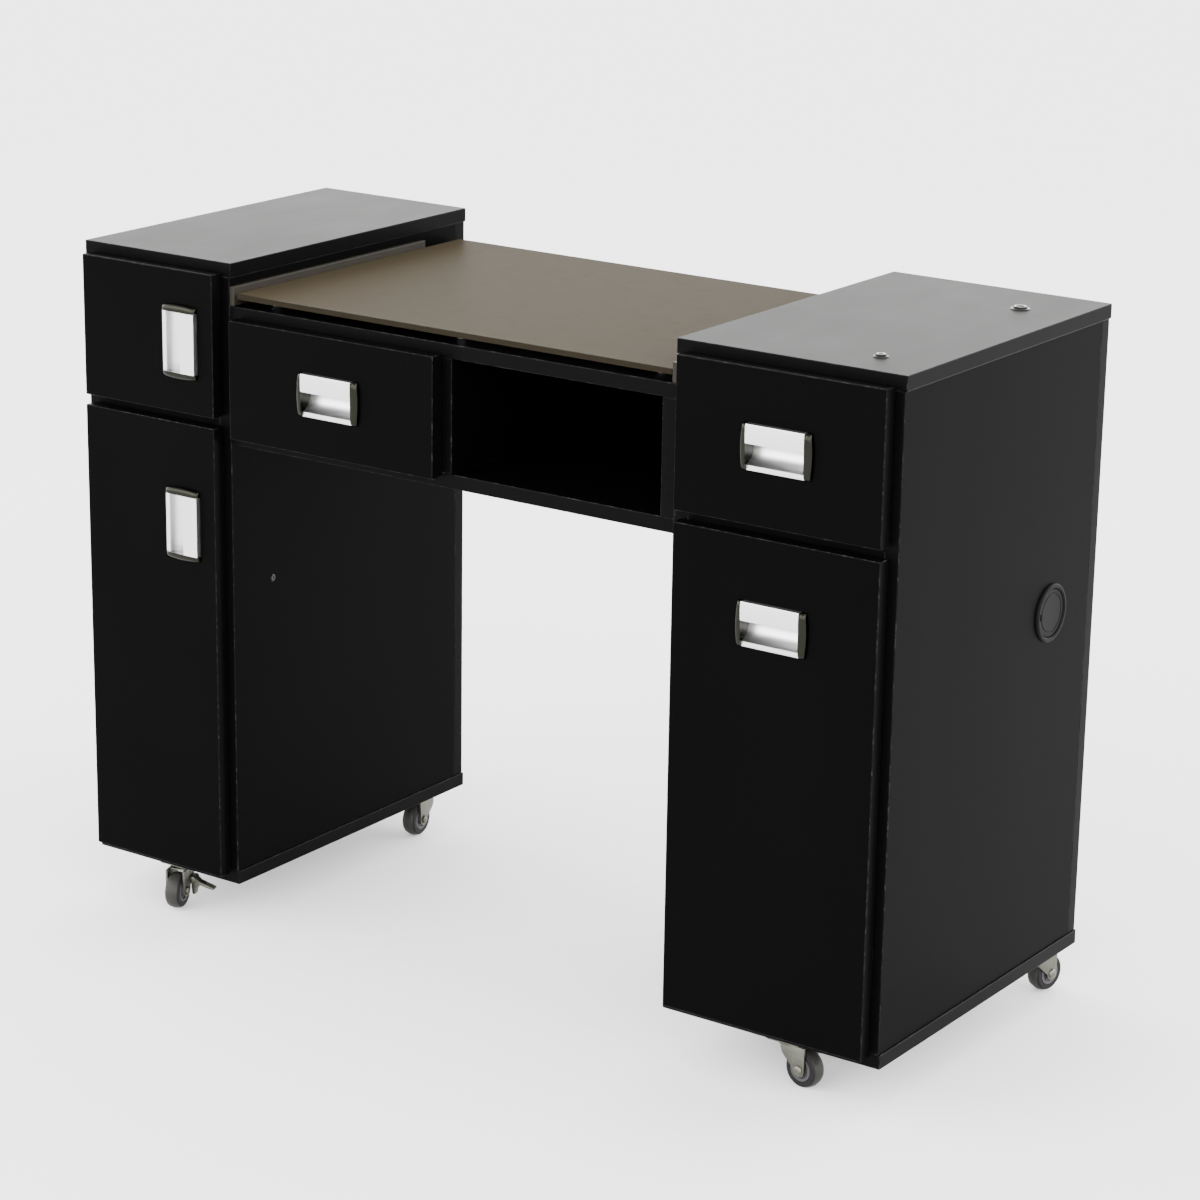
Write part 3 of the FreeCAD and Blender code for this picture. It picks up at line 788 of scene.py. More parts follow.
def grip_outline(wide, proud, deep):
    """The section of a pull's centre, as (towards the lip, outwards) points."""
    s = bpy.context.scene.table_pulls
    soft = 0.7 * MM
    pocket = wide - s.lap
    hollow = pocket - s.wall
    floor = s.wall - deep
    under = proud - s.lip_skin
    bend = 2 * s.wall
    foot = wide - s.lip
    ramp = s.strip - wide
    points = [(wide, 0.0)]
    points += arc((wide - soft, proud - soft), soft, 0, 90)
    points += arc_through((wide - soft, proud), ((wide + foot) / 2, proud + 0.35 * MM), (foot + soft, proud))
    points += arc((foot + soft, proud - soft), soft, 90, 180)[1:]
    points += [(foot, under), (hollow - bend, under)]
    points += arc_through((hollow - bend, under), (hollow - 0.3 * bend, under - 0.3 * bend),
                          (hollow, under - bend), 6)
    points += [(hollow, floor + 2 * bend)]
    points += arc_through((hollow, floor + 2 * bend), (hollow - 0.6 * bend, floor + 0.6 * bend),
                          (hollow - 2 * bend, floor), 8)
    points += [(0.0, floor)]
    points += arc_through((0.0, floor), (0.62 * ramp, 0.68 * floor),
                          (ramp + soft * 0.6, s.strip_proud - soft), 18)
    points += [(ramp, s.strip_proud)]
    points += arc((soft - wide, s.strip_proud - soft), soft, 90, 180)
    points += [(-wide, 0.0), (-pocket, 0.0), (-pocket, -deep), (pocket, -deep), (pocket, 0.0)]
    return points


def grip(name, panel):
    """The brushed centre of a pull."""
    place, long, wide, proud, deep = pull_frame(name, panel)
    u = long - bpy.context.scene.table_pulls.cap
    bm = bmesh.new()
    turn = Matrix(((0, 0, 1, 0), (1, 0, 0, 0), (0, 1, 0, 0), (0, 0, 0, 1)))
    prism(bm, grip_outline(wide, proud, deep), place @ Matrix.Translation((-u, 0, 0)) @ turn, 2 * u)
    piece(name + "_grip", bm, [satin_aluminium()], name, [name + "_handle_grip"], angle=28)


CAP_SIDE_POWER = 9.0
CAP_END_POWER = 3.2


def cap_height(across, out, proud):
    """Height of a cap above the panel. across runs from -1 to 1 over its width, out from 0 to 1."""
    side = (1.0 - abs(across) ** CAP_SIDE_POWER) ** (1.0 / 3.0)
    end = (1.0 - out ** CAP_END_POWER) ** (1.0 / 2.4)
    crown = 1.0 - 0.1 * across * across
    return proud * side * end * crown


def pull_cap(bm, place, way, long, wide, proud, deep):
    """One end of a pull: a rounded pebble over the panel and a tongue in the pocket."""
    s = bpy.context.scene.table_pulls
    start = long - s.cap
    rows, columns = 28, 10
    grid = []
    for row in range(rows + 1):
        across = -math.cos(math.pi * row / rows)
        v = wide * across
        reach = long - start - s.bulge * across * across
        line = [bm.verts.new(place @ Vector((way * start, v, 0.0)))]
        for column in range(columns + 1):
            out = math.sin(0.5 * math.pi * column / columns)
            height = cap_height(across, out, proud)
            line.append(bm.verts.new(place @ Vector((way * (start + reach * out), v, height))))
        grid.append(line)
    for low, high in zip(grid, grid[1:]):
        for column in range(len(low) - 1):
            bm.faces.new([low[column], low[column + 1], high[column + 1], high[column]])
        bm.faces.new([low[-1], low[0], high[0], high[-1]])
    tongue = [(start, -wide + s.lap), (long - s.end_lap, -wide + s.lap), (long - s.end_lap, wide - s.lap),
              (start, wide - s.lap)]
    prism(bm, [(way * x, y) for x, y in tongue], place @ Matrix.Translation((0, 0, -deep)), deep + 0.3 * MM)


def pull_caps(name, panel):
    """Both smoked chrome ends of a pull."""
    place, long, wide, proud, deep = pull_frame(name, panel)
    bm = bmesh.new()
    for way in (-1, 1):
        pull_cap(bm, place, way, long, wide, proud, deep)
    bmesh.ops.remove_doubles(bm, verts=list(bm.verts), dist=1e-6)
    piece(name + "_caps", bm, [smoked_chrome()], name, [name + "_handle_caps"], angle=50)


class TABLE_OT_pulls(bpy.types.Operator):
    """Build the five flush pulls"""
    bl_idname = "table.pulls"
    bl_label = "Flush pulls"

    def execute(self, context):
        for name in DOORS:
            grip(name, name + "_panel")
            pull_caps(name, name + "_panel")
        for name in DRAWERS:
            grip(name, name + "_front")
            pull_caps(name, name + "_front")
        return {"FINISHED"}


# Drawer boxes and runners

def drawer_box(name):
    """Sides, ends and bottom of one drawer box."""
    low, high = limits(name + "_box")
    inner_low, inner_high = low.x + BOX_WALL, high.x - BOX_WALL
    bottom = low.z + BOX_BOTTOM_LIFT
    spans = [
        (low, Vector((inner_low, high.y, high.z))),
        (Vector((inner_high, low.y, low.z)), high),
        (Vector((inner_low, low.y, low.z)), Vector((inner_high, low.y + BOX_WALL, high.z))),
        (Vector((inner_low, high.y - BOX_WALL, low.z)), Vector((inner_high, high.y, high.z))),
        (Vector((inner_low, low.y + BOX_WALL, bottom)),
         Vector((inner_high, high.y - BOX_WALL, bottom + BOX_BOTTOM))),
    ]
    board_piece(name + "_box_skin", spans, name, [name + "_box"])


def rail_bars(name):
    """The two inner rails of a drawer, each with a row of fixing holes."""
    low, high = limits(name + "_rails")
    box_low, box_high = limits(name + "_box")
    bm = bmesh.new()
    for near, far in ((low.x, box_low.x), (box_high.x, high.x)):
        block(bm, (near, low.y, low.z), (far, high.y, high.z), 1.2 * MM, 3)
        outer = near if far == box_low.x else far
        way = -1 if far == box_low.x else 1
        for step in range(5):
            y = low.y + (high.y - low.y) * (step + 0.5) / 5
            place = along((way, 0, 0), (outer, y, (low.z + high.z) / 2))
            hole = [(3.2 * MM, -0.5 * MM), (3.2 * MM, 0.1 * MM), (2.2 * MM, 0.12 * MM), (2.0 * MM, -0.6 * MM)]
            lathe(bm, hole, place, 1, steps=20)
    piece(name + "_rail_bars", bm, [nickel(), moulded("rail_dark", (0.03, 0.03, 0.03), 0.5)], name,
          [name + "_rails"], level=True)


def runner_channels():
    """The fixed channels, a pair to each drawer, with folded lips and screws."""
    bm = bmesh.new()
    web, lip = 1.5 * MM, 2.0 * MM
    depth = RUNNER_GAP - 2.0 * MM
    half = 15.0 * MM
    for name in DRAWERS:
        rail_low, rail_high = limits(name + "_rails")
        box_low, box_high = limits(name + "_box")
        middle = (rail_low.z + rail_high.z) / 2
        start, end = rail_low.y, rail_low.y + (box_high.y - box_low.y)
        for wall, way in ((box_low.x - RUNNER_GAP, 1), (box_high.x + RUNNER_GAP, -1)):
            outline = [(0, -half), (depth, -half), (depth, lip - half), (web, lip - half), (web, half - lip),
                       (depth, half - lip), (depth, half), (0, half)]
            turn = Matrix(((way, 0, 0, wall), (0, 0, 1, start), (0, 1, 0, middle), (0, 0, 0, 1)))
            prism(bm, outline, turn, end - start, 0.3 * MM)
            for step in range(3):
                y = start + (end - start) * (step + 0.3) / 3
                lathe(bm, [(0, 0.35 * MM), (2.6 * MM, 0.3 * MM), (3.0 * MM, 0.0)],
                      along((way, 0, 0), (wall + way * web, y, middle)), steps=20)
    piece("runner_channels", bm, [nickel()], "carcass", ["fixed_runners"], angle=30)


class TABLE_OT_drawers(bpy.types.Operator):
    """Build the drawer boxes, their rails and the fixed runners"""
    bl_idname = "table.drawers"
    bl_label = "Drawer boxes and runners"

    def execute(self, context):
        for name in DRAWERS:
            drawer_box(name)
            rail_bars(name)
        runner_channels()
        return {"FINISHED"}


# Hinges

def hinge_cups(name):
    """Centre, radius, bore depth and rear reach of each hinge cup of a door."""
    low, high = limits(name + "_hinge_cups")
    back = limits(name + "_panel")[1].y
    radius = (high.x - low.x) / 2
    deep = back - low.y
    inset = 1.5 * radius
    found = []
    for z in (low.z + inset, high.z - inset):
        found.append((Vector(((low.x + high.x) / 2, back, z)), radius, deep, 2 * MM))
    return found


def cup_pieces(name):
    """Both cups of a door: pressed cup, winged flange, two screws and the knuckle."""
    bm = bmesh.new()
    reach = limits(name + "_hinge_cups")[1].y
    for centre, radius, deep, _ in hinge_cups(name):
        skin = 1.2 * MM
        place = along((0, 1, 0), centre)
        inner = radius - skin
        lathe(bm, [(0, -deep), (radius, -deep), (radius, 0.0), (inner, 0.0), (inner, 3 * MM - deep),
                   (inner - 2 * MM, skin - deep), (0, skin - deep)], place, steps=48)
        wing, tall = radius * 0.5, radius * 1.5
        flange = arc((0, tall - wing), wing, 0, 180, 10) + [(-radius * 0.62, radius * 0.8), (-radius, 0)]
        flange += [(-radius * 0.62, -radius * 0.8)] + arc((0, wing - tall), wing, 180, 360, 10)
        flange += [(radius * 0.62, -radius * 0.8), (radius, 0), (radius * 0.62, radius * 0.8)]
        turn = Matrix(((1, 0, 0, centre.x), (0, 0, 1, centre.y), (0, 1, 0, centre.z), (0, 0, 0, 1)))
        ring = bmesh.new()
        prism(ring, flange, turn, 1.2 * MM, 0.25 * MM)
        start, end = centre - Vector((0, 2 * MM, 0)), centre + Vector((0, 3 * MM, 0))
        add_mesh(bm, carved(ring, [round_cutter(inner, start, end)]))
        for way in (-1, 1):
            spot = centre + Vector((0, 1.2 * MM, way * (tall - wing * 0.9)))
            screw_head(bm, along((0, 1, 0), spot), 1.7 * MM)
        half = 5.5 * MM
        block(bm, (centre.x - half, centre.y - deep + 2 * MM, centre.z - half),
              (centre.x + half, reach, centre.z + half), 1.4 * MM, 3)
        lathe(bm, [(0, -7 * MM), (1.5 * MM, -7 * MM), (1.5 * MM, 7 * MM), (0, 7 * MM)],
              Matrix.Translation((centre.x, reach - 3.5 * MM, centre.z)), steps=20)
    piece(name + "_hinge_cup_pair", bm, [nickel(), screw_recess_shade()], name,
          [name + "_hinge_cups"], angle=35)


def hinge_arms():
    """The fixed arms and their winged plates, inside the left pedestal's outer side."""
    low, high = limits("hinge_arms")
    bm = bmesh.new()
    for name in DOORS:
        for centre, _, _, _ in hinge_cups(name):
            half = 9 * MM
            start = (low.x, low.y, centre.z - half)
            outline = [(low.y, low.x + 2 * MM), (low.y + 3 * MM, high.x - 1 * MM)]
            outline += arc_through((low.y + 3 * MM, high.x - 1 * MM), ((low.y + high.y) / 2, high.x),
                                   (high.y - 3 * MM, high.x - 2.5 * MM), 10)
            outline += [(high.y, low.x + 2 * MM), (high.y, low.x), (low.y, low.x)]
            turn = Matrix(((0, 1, 0, 0), (1, 0, 0, 0), (0, 0, 1, start[2]), (0, 0, 0, 1)))
            prism(bm, outline, turn, 2 * half, 1.2 * MM, steps=3)
            wing = 1.4 * 18 * MM
            middle = low.y + 0.75 * (high.y - low.y)
            plate = low.x + 2.4 * MM
            block(bm, (low.x, middle - 7.5 * MM, centre.z - wing),
                  (plate, middle + 7.5 * MM, centre.z + wing), 0.6 * MM, 2)
            for way in (-1, 1):
                screw_head(bm, along((1, 0, 0), (plate, middle, centre.z + way * 19 * MM)), 3.2 * MM)
            for y in (middle - 18 * MM, middle):
                screw_head(bm, along((1, 0, 0), (high.x - 0.6 * MM, y, centre.z)), 3.0 * MM)
    piece("hinge_arm_set", bm, [nickel(), screw_recess_shade()], "carcass",
          ["hinge_arms"], angle=35)


class TABLE_OT_hinges(bpy.types.Operator):
    """Build the cup hinges"""
    bl_idname = "table.hinges"
    bl_label = "Cup hinges"

    def execute(self, context):
        for name in DOORS:
            cup_pieces(name)
        hinge_arms()
        return {"FINISHED"}


# Glass worktop

class TABLE_OT_worktop(bpy.types.Operator):
    """Build the glass plate, its pads and the stop strips"""
    bl_idname = "table.worktop"
    bl_label = "Glass worktop"

    def execute(self, context):
        settings = context.scene.table_worktop
        bm = bmesh.new()
        low, high = limits("glass_top")
        block(bm, low, high, settings.edge, 2, (0, 1, 1))
        piece("glass_plate", bm, [bronze_glass(), glass_edge()], "carcass", ["glass_top"],
              level=True)
        glass_bumpers()
        bm = bmesh.new()
        low, high = limits("glass_stop_strips")
        wide = limits("glass_top")[0].x - low.x - 1.5 * MM
        block(bm, low, (low.x + wide, high.y, high.z), 1.0 * MM, 3)
        block(bm, (high.x - wide, low.y, low.z), high, 1.0 * MM, 3)
        piece("stop_strips", bm, [moulded("taupe_strip", settings.strip, 0.4, 0.0006, 0.06)], "carcass",
              ["glass_stop_strips"], level=True)
        return {"FINISHED"}


def glass_bumpers():
    """Six clear discs that lift the glass off the desk board."""
    low, high = limits("glass_pads")
    radius, rise = 6 * MM, high.z - low.z
    outline = [(0, 0), (radius - 0.4 * MM, 0), (radius, 0.5 * MM), (radius, rise - 1.2 * MM),
               (radius - 0.6 * MM, rise - 0.4 * MM), (radius - 1.6 * MM, rise), (0, rise)]
    bm = bmesh.new()
    for x in (low.x + radius, (low.x + high.x) / 2, high.x - radius):
        for y in (low.y + radius, high.y - radius):
            lathe(bm, outline, Matrix.Translation((x, y, low.z)), steps=32)
    piece("glass_bumpers", bm, [clear_rubber()], "carcass", ["glass_pads"], angle=50)


# Grommet, sockets and screw caps

def grommet_place():
    """The middle of the grommet on the outer face of the right side, and its hole's radius."""
    low, high = limits("side_grommet")
    face = limits("right_side_panels")[1].x
    return Vector((face, (low.y + high.y) / 2, (low.z + high.z) / 2)), 27.0 * MM


def grommet_parts():
    """The flanged sleeve and the cap pressed into it."""
    centre, sleeve = grommet_place()
    low, high = limits("side_grommet")
    cap_low, cap_high = limits("grommet_cap")
    outer, proud = (high.z - low.z) / 2, high.x - centre.x
    inner = sleeve - 2 * MM
    deep = low.x - centre.x
    place = along((1, 0, 0), centre)
    plastic = moulded("black_plastic", (0.0035, 0.0035, 0.0037), 0.38, level=0.03)
    bm = bmesh.new()
    rim = [(outer, 0.0), (outer, proud * 0.35)]
    rim += arc_through((outer, proud * 0.35), (outer - 0.7 * MM, proud * 0.8), (outer - 2.2 * MM, proud), 6)
    rim += arc_through((outer - 2.2 * MM, proud), (inner + 1.2 * MM, proud * 0.96), (inner, proud * 0.45), 8)
    lathe(bm, rim + [(inner, deep), (sleeve, deep), (sleeve, 0.0)], place, steps=72, closed=True)
    piece("grommet_ring", bm, [plastic], "carcass", ["side_grommet"], angle=40)
    radius = (cap_high.z - cap_low.z) / 2
    top, under = cap_high.x - centre.x, cap_low.x - centre.x
    bm = bmesh.new()
    cap = [(0, under), (radius, under), (radius, top - 0.8 * MM), (radius - 0.8 * MM, top)]
    cap += [(radius - 4 * MM, top), (radius - 4.6 * MM, top - 0.6 * MM), (radius - 5.2 * MM, top - 0.6 * MM)]
    cap += [(radius - 5.8 * MM, top), (3 * MM, top - 0.25 * MM), (0, top - 0.25 * MM)]
    lathe(bm, cap, place, steps=72)
    notch = centre + Vector((top, -radius, 0))
    start, end = notch - Vector((1.6 * MM, 0, 0)), notch + Vector((5 * MM, 0, 0))
    bm = carved(bm, [round_cutter(4.5 * MM, start, end)])
    piece("grommet_disc", bm, [plastic], "carcass", ["grommet_cap"], angle=40)


def socket_sizes():
    """Centre on the board, outer sleeve radius and flange radius of both sockets, rear one first."""
    low, high = limits("top_bushes")
    top = limits("right_top_board")[1].z
    rear, front = 10.0 * MM, 7.5 * MM
    x = (low.x + high.x) / 2
    return [(Vector((x, high.y - rear, top)), 6.7 * MM, rear),
            (Vector((x, low.y + front, top)), 4.95 * MM, front)]


def socket_cutter(centre, radius):
    """The hole in the board for one socket sleeve."""
    return round_cutter(radius, centre - Vector((0, 0, 2 * BOARD)), centre + Vector((0, 0, BOARD)))


def socket_sleeves():
    """The flanged sleeves, with a knurled collar and a bright lining."""
    rise = limits("top_bushes")[1].z - limits("right_top_board")[1].z
    bm = bmesh.new()
    for centre, wall, flange in socket_sizes():
        place = Matrix.Translation(centre)
        bore = wall - 1.7 * MM
        edge = 1.0 * MM
        body = [(wall, -BOARD), (wall, 0), (flange, 0), (flange, edge * 0.5), (flange - 0.6 * MM, edge)]
        body += [(wall + 0.8 * MM, edge * 1.1), (wall, edge * 1.6), (wall, rise - 0.5 * MM)]
        body += [(wall - 0.4 * MM, rise - 0.1 * MM), (wall - 0.8 * MM, rise)]
        lathe(bm, body, place, 0, steps=48)
        lining = [(wall - 0.8 * MM, rise), (bore + 0.3 * MM, rise), (bore, rise - 0.4 * MM)]
        lining += [(bore, -BOARD), (wall, -BOARD)]
        lathe(bm, lining, place, 1, steps=48)
        for step in range(24):
            angle = 2 * math.pi * step / 24
            spot = centre + Vector((wall * math.cos(angle), wall * math.sin(angle), edge * 1.5))
            lathe(bm, [(0, 0), (0.35 * MM, 0), (0.35 * MM, rise - edge * 2.2), (0, rise - edge * 1.9)],
                  Matrix.Translation(spot), 0, steps=8)
    bmesh.ops.remove_doubles(bm, verts=list(bm.verts), dist=1e-7)
    dark = moulded("socket_black", (0.006, 0.006, 0.006), 0.3, level=0.15)
    bright = plated_steel("socket_lining", (0.3, 0.3, 0.29), 0.25, 0.001)
    piece("socket_sleeves", bm, [dark, bright], "carcass", ["top_bushes"], angle=35)


def cover_caps():
    """The push-in caps over the joining screws."""
    low, high = limits("screw_caps")
    radius = (high.z - low.z) / 2
    middle = Vector(((low.x + high.x) / 2, (low.y + high.y) / 2, (low.z + high.z) / 2))
    proud = 0.8 * MM
    outline = [(radius, 0.0), (radius - 0.1 * MM, proud * 0.5), (radius - 0.8 * MM, proud * 0.9)]
    outline += [(radius * 0.4, proud), (radius * 0.3, proud * 0.7), (0, proud * 0.7)]
    bm = bmesh.new()
    for x, way in ((low.x, 1), (high.x, -1)):
        lathe(bm, [(0, 0.0)] + outline, along((way, 0, 0), (x, middle.y, middle.z)), steps=28)
    dark = moulded("cap_plastic", (0.003, 0.003, 0.003), 0.3, level=0.15)
    piece("cover_caps", bm, [dark], "carcass", ["screw_caps"], angle=40)


class TABLE_OT_fittings(bpy.types.Operator):
    """Build the grommet, the two sockets and the screw caps"""
    bl_idname = "table.fittings"
    bl_label = "Grommet and sockets"

    def execute(self, context):
        grommet_parts()
        socket_sleeves()
        cover_caps()
        return {"FINISHED"}


# Casters, built with the swivel axis on local Z and the wheel trailing towards local X

def caster_frame(name):
    """The local frame of a caster on the floor, its trail, and the height of its axle."""
    swivel = Vector(joint(name + "_caster_swivel")["pos_m"])
    axle = Vector(joint(name + "_wheel_spin")["pos_m"])
    trail = Vector((axle.x - swivel.x, axle.y - swivel.y))
    turn = Matrix.Rotation(math.atan2(trail.y, trail.x), 4, "Z")
    return Matrix.Translation((swivel.x, swivel.y, 0)) @ turn, trail.length, axle.z


def axle_frame(name):
    """The same frame moved to the axle, with local Z along it."""
    place, trail, height = caster_frame(name)
    return place @ Matrix.Translation((trail, 0, height)) @ Matrix.Rotation(math.radians(-90), 4, "X")


def caster_wheel(name):
    """Tyre, hub, side covers and axle bush."""
    settings = bpy.context.scene.table_casters
    low, high = limits(name + "_caster_wheel")
    radius = (high.z - low.z) / 2
    half = 8.0 * MM
    shoulder = (radius - 1.5 * MM, half - 1.4 * MM)
    rim, hub, bush, bore = 12.6 * MM, 9.2 * MM, 5.8 * MM, 3.05 * MM
    place = axle_frame(name)
    bm = bmesh.new()
    tread = arc_through((shoulder[0], -shoulder[1]), (radius, 0.0), shoulder, 20)
    lathe(bm, [(shoulder[0], -shoulder[1])] + tread, place, 0, steps=96)
    for way in (-1, 1):
        side = [(shoulder[0], way * shoulder[1]), (shoulder[0] - 0.3 * MM, way * (shoulder[1] + 0.2 * MM))]
        side += arc_through(side[-1], (radius - 2.6 * MM, way * (half - 0.3 * MM)),
                            (radius - 3.8 * MM, way * half), 6)
        side += [(rim + 0.9 * MM, way * half), (rim + 0.4 * MM, way * (half - 0.6 * MM))]
        side += [(rim, way * (half - 0.6 * MM))]
        lathe(bm, side, place, 1, steps=96)
        cover = [(rim, way * (half - 0.6 * MM)), (rim - 0.3 * MM, way * (half + 0.05 * MM))]
        cover += [(hub + 0.4 * MM, way * (half + 0.1 * MM)), (hub, way * (half - 0.3 * MM))]
        cover += [(hub - 0.4 * MM, way * (half - 1.6 * MM)), (bush + 0.4 * MM, way * (half - 1.8 * MM))]
        cover += [(bush, way * (half - 0.2 * MM)), (bush - 0.4 * MM, way * (half + 0.5 * MM))]
        cover += [(bore, way * (half + 0.5 * MM))]
        lathe(bm, cover, place, 2, steps=72)
        for rib in range(settings.spokes):
            turn = Matrix.Rotation(2 * math.pi * rib / settings.spokes, 4, "Z")
            face = half - 1.9 * MM if way > 0 else -half + 0.9 * MM
            foot, thick = bush - 0.2 * MM, 0.6 * MM
            bar = [(foot, -thick), (hub, -thick), (hub, thick), (foot, thick)]
            prism(bm, bar, place @ turn @ Matrix.Translation((0, 0, face)), 1.0 * MM, 0.2 * MM, 2)
    lathe(bm, [(bore, -half - 0.5 * MM), (bore, half + 0.5 * MM)], place, 2, steps=72)
    bmesh.ops.remove_doubles(bm, verts=list(bm.verts), dist=1e-7)
    finishes = [tread_rubber(), moulded("tyre_side", (0.004, 0.004, 0.004), 0.45, level=0.12),
                moulded("hub_cover", settings.cover, 0.35, 0.0006, level=0.2)]
    piece(name + "_wheel_set", bm, finishes, name + "_wheel", [name + "_caster_wheel"], angle=32)


FORK_INNER = 9.0 * MM
FORK_OUTER = 11.0 * MM
FORK_BOSS = 7.0 * MM
CROWN = 2.2 * MM


def fork_edge(x, trail, height, top):
    """How low the fork's sheet reaches at a distance along the trail."""
    if x > trail - FORK_BOSS:
        inside = max(0.0, FORK_BOSS ** 2 - (x - trail) ** 2)
        return height - math.sqrt(inside)
    start = top - 2 * CROWN
    fall = (x + FORK_OUTER) / (trail - FORK_BOSS + FORK_OUTER)
    return start + (height - start) * fall


def fork_shell(bm, place, trail, height, top):
    """The folded sheet: a cheek on each side, and the round web that joins them on the leading side."""
    reach = trail + FORK_BOSS
    straight = [reach - FORK_BOSS * (1 - math.cos(math.radians(5 * step))) for step in range(37)]
    straight += [straight[-1] * (1 - step / 8) for step in range(1, 8)]
    stations = [((x, 0.0), (0.0, 1.0)) for x in straight]
    stations += [((0.0, 0.0), (math.cos(turn), math.sin(turn))) for turn in
                 (math.radians(90 + 7.5 * step) for step in range(25))]
    stations += [((x, 0.0), (0.0, -1.0)) for x in reversed(straight)]
    soft = 0.45 * MM
    sheet = FORK_OUTER - FORK_INNER
    section = [(0.0, soft), (0.3 * soft, 0.3 * soft), (soft, 0.0), (sheet - soft, 0.0)]
    section += [(sheet - 0.3 * soft, 0.3 * soft), (sheet, soft)]
    rings = []
    for (x, y), (across_x, across_y) in stations:
        ring = []
        for out, rise in section:
            r = FORK_INNER + out
            spot = (x + across_x * r, y + across_y * r)
            ring.append(Vector((*spot, fork_edge(spot[0], trail, height, top) + rise)))
        for out, rise in reversed(section):
            r = FORK_INNER + out
            ring.append(Vector((x + across_x * r, y + across_y * r, top - rise)))
        rings.append([bm.verts.new(place @ spot) for spot in ring])
    for first, second in zip(rings, rings[1:]):
        for index in range(len(first)):
            after = (index + 1) % len(first)
            bm.faces.new([first[index], first[after], second[after], second[index]])
    bm.faces.new(rings[0])
    bm.faces.new(list(reversed(rings[-1])))


def caster_fork(name):
    """Pressed fork: domed crown, folded sheet, and the axle bolt with its nut and washer."""
    place, trail, height = caster_frame(name)
    top = limits(name + "_caster_fork")[1].z
    bm = bmesh.new()
    fork_shell(bm, place, trail, height, top)
    crown_plate = bmesh.new()
    wide = FORK_INNER + 0.5 * MM
    block(crown_plate, (0, -wide, top - CROWN), (trail, wide, top - 0.1 * MM), 0.4 * MM, 2)
    add_mesh(bm, crown_plate, place)
    dome = [(4.05 * MM, top - CROWN), (13.2 * MM, top - CROWN), (14 * MM, top - CROWN + 0.7 * MM)]
    dome += [(14 * MM, top - 0.5 * MM), (13.4 * MM, top), (4.05 * MM, top)]
    lathe(bm, dome, place, steps=56, closed=True)
    if name.startswith("front"):
        brake_ears(bm, name)
    axle_parts(bm, axle_frame(name), FORK_OUTER)
    piece(name + "_fork_set", bm, [zinc(), screw_recess_shade()], name + "_swivel",
          [name + "_caster_fork"], angle=38)


def axle_parts(bm, place, reach):
    """The axle bolt: a domed head on one side, a washer and hexagon nut on the other."""
    lathe(bm, [(0, -reach), (3 * MM, -reach), (3 * MM, reach), (0, reach)], place, steps=24)
    head = [(5 * MM, 0), (5 * MM, 0.8 * MM), (4.2 * MM, 1.8 * MM), (2.6 * MM, 2.4 * MM), (0, 2.5 * MM)]
    inner = place @ Matrix.Translation((0, 0, -reach)) @ Matrix.Rotation(math.pi, 4, "X")
    lathe(bm, [(0, 0)] + head, inner, steps=32)
    outer = place @ Matrix.Translation((0, 0, reach))
    lathe(bm, [(0, 0), (5 * MM, 0), (5 * MM, 0.6 * MM), (0, 0.6 * MM)], outer, steps=32)
    corners = arc((0, 0), 4.6 * MM, 0, 300, 5)
    prism(bm, corners, outer @ Matrix.Translation((0, 0, 0.6 * MM)), 1.6 * MM, 0.25 * MM)
    end = [(0, 0), (2.2 * MM, 0), (2.2 * MM, 2.3 * MM), (1.8 * MM, 2.5 * MM), (0, 2.5 * MM)]
    lathe(bm, end, outer, steps=20)


def caster_plates():
    """The six top plates, each with a ball race, a riveted kingpin and four screws."""
    bm = bmesh.new()
    low, high = limits("caster_plates")
    top = high.z
    half, corner, sheet = 20.0 * MM, 5.0 * MM, 2.5 * MM
    race = top - sheet - 3.0 * MM
    for name in CASTERS:
        swivel = Vector(joint(name + "_caster_swivel")["pos_m"])
        place = Matrix.Translation((swivel.x, swivel.y, 0))
        outline = []
        for quarter, (x, y) in enumerate(((1, 1), (-1, 1), (-1, -1), (1, -1))):
            centre = (x * (half - corner), y * (half - corner))
            outline += arc(centre, corner, 90 * quarter, 90 * quarter + 90, 6)
        prism(bm, outline, place @ Matrix.Translation((0, 0, top - sheet)), sheet, 0.5 * MM)
        cup = [(4 * MM, race), (13.4 * MM, race), (14 * MM, race + 0.6 * MM), (14 * MM, race + 1.8 * MM)]
        cup += [(12.6 * MM, top - sheet), (4 * MM, top - sheet)]
        lathe(bm, cup, place, steps=56, closed=True)
        lathe(bm, [(4 * MM, low.z + 2.2 * MM), (4 * MM, race)], place, steps=32)
        head = [(0, low.z), (4.2 * MM, low.z), (6 * MM, low.z + 0.7 * MM), (6.5 * MM, low.z + 1.5 * MM)]
        lathe(bm, head + [(6.5 * MM, low.z + 2.2 * MM), (0, low.z + 2.2 * MM)], place, steps=40)
        for x in (-1, 1):
            for y in (-1, 1):
                spot = (swivel.x + x * 15.5 * MM, swivel.y + y * 15.5 * MM, top - sheet)
                screw_head(bm, along((0, 0, -1), spot), 3.0 * MM)
    piece("caster_plate_set", bm, [zinc(), screw_recess_shade()], "carcass",
          ["caster_plates"], angle=38)


BRAKE_HALF = 4.5 * MM
BRAKE_EAR = 3.0 * MM
BRAKE_PLAY = 0.3 * MM
EAR_SHEET = 2.0 * MM
SIDEWAYS = Matrix(((0, 0, 1, 0), (1, 0, 0, 0), (0, 1, 0, 0), (0, 0, 0, 1)))


def brake_pin(name):
    """The caster's frame, and the middle of the brake's pin in it."""
    place = caster_frame(name)[0]
    return place, place.inverted() @ Vector(joint(name + "_brake_press")["pos_m"])


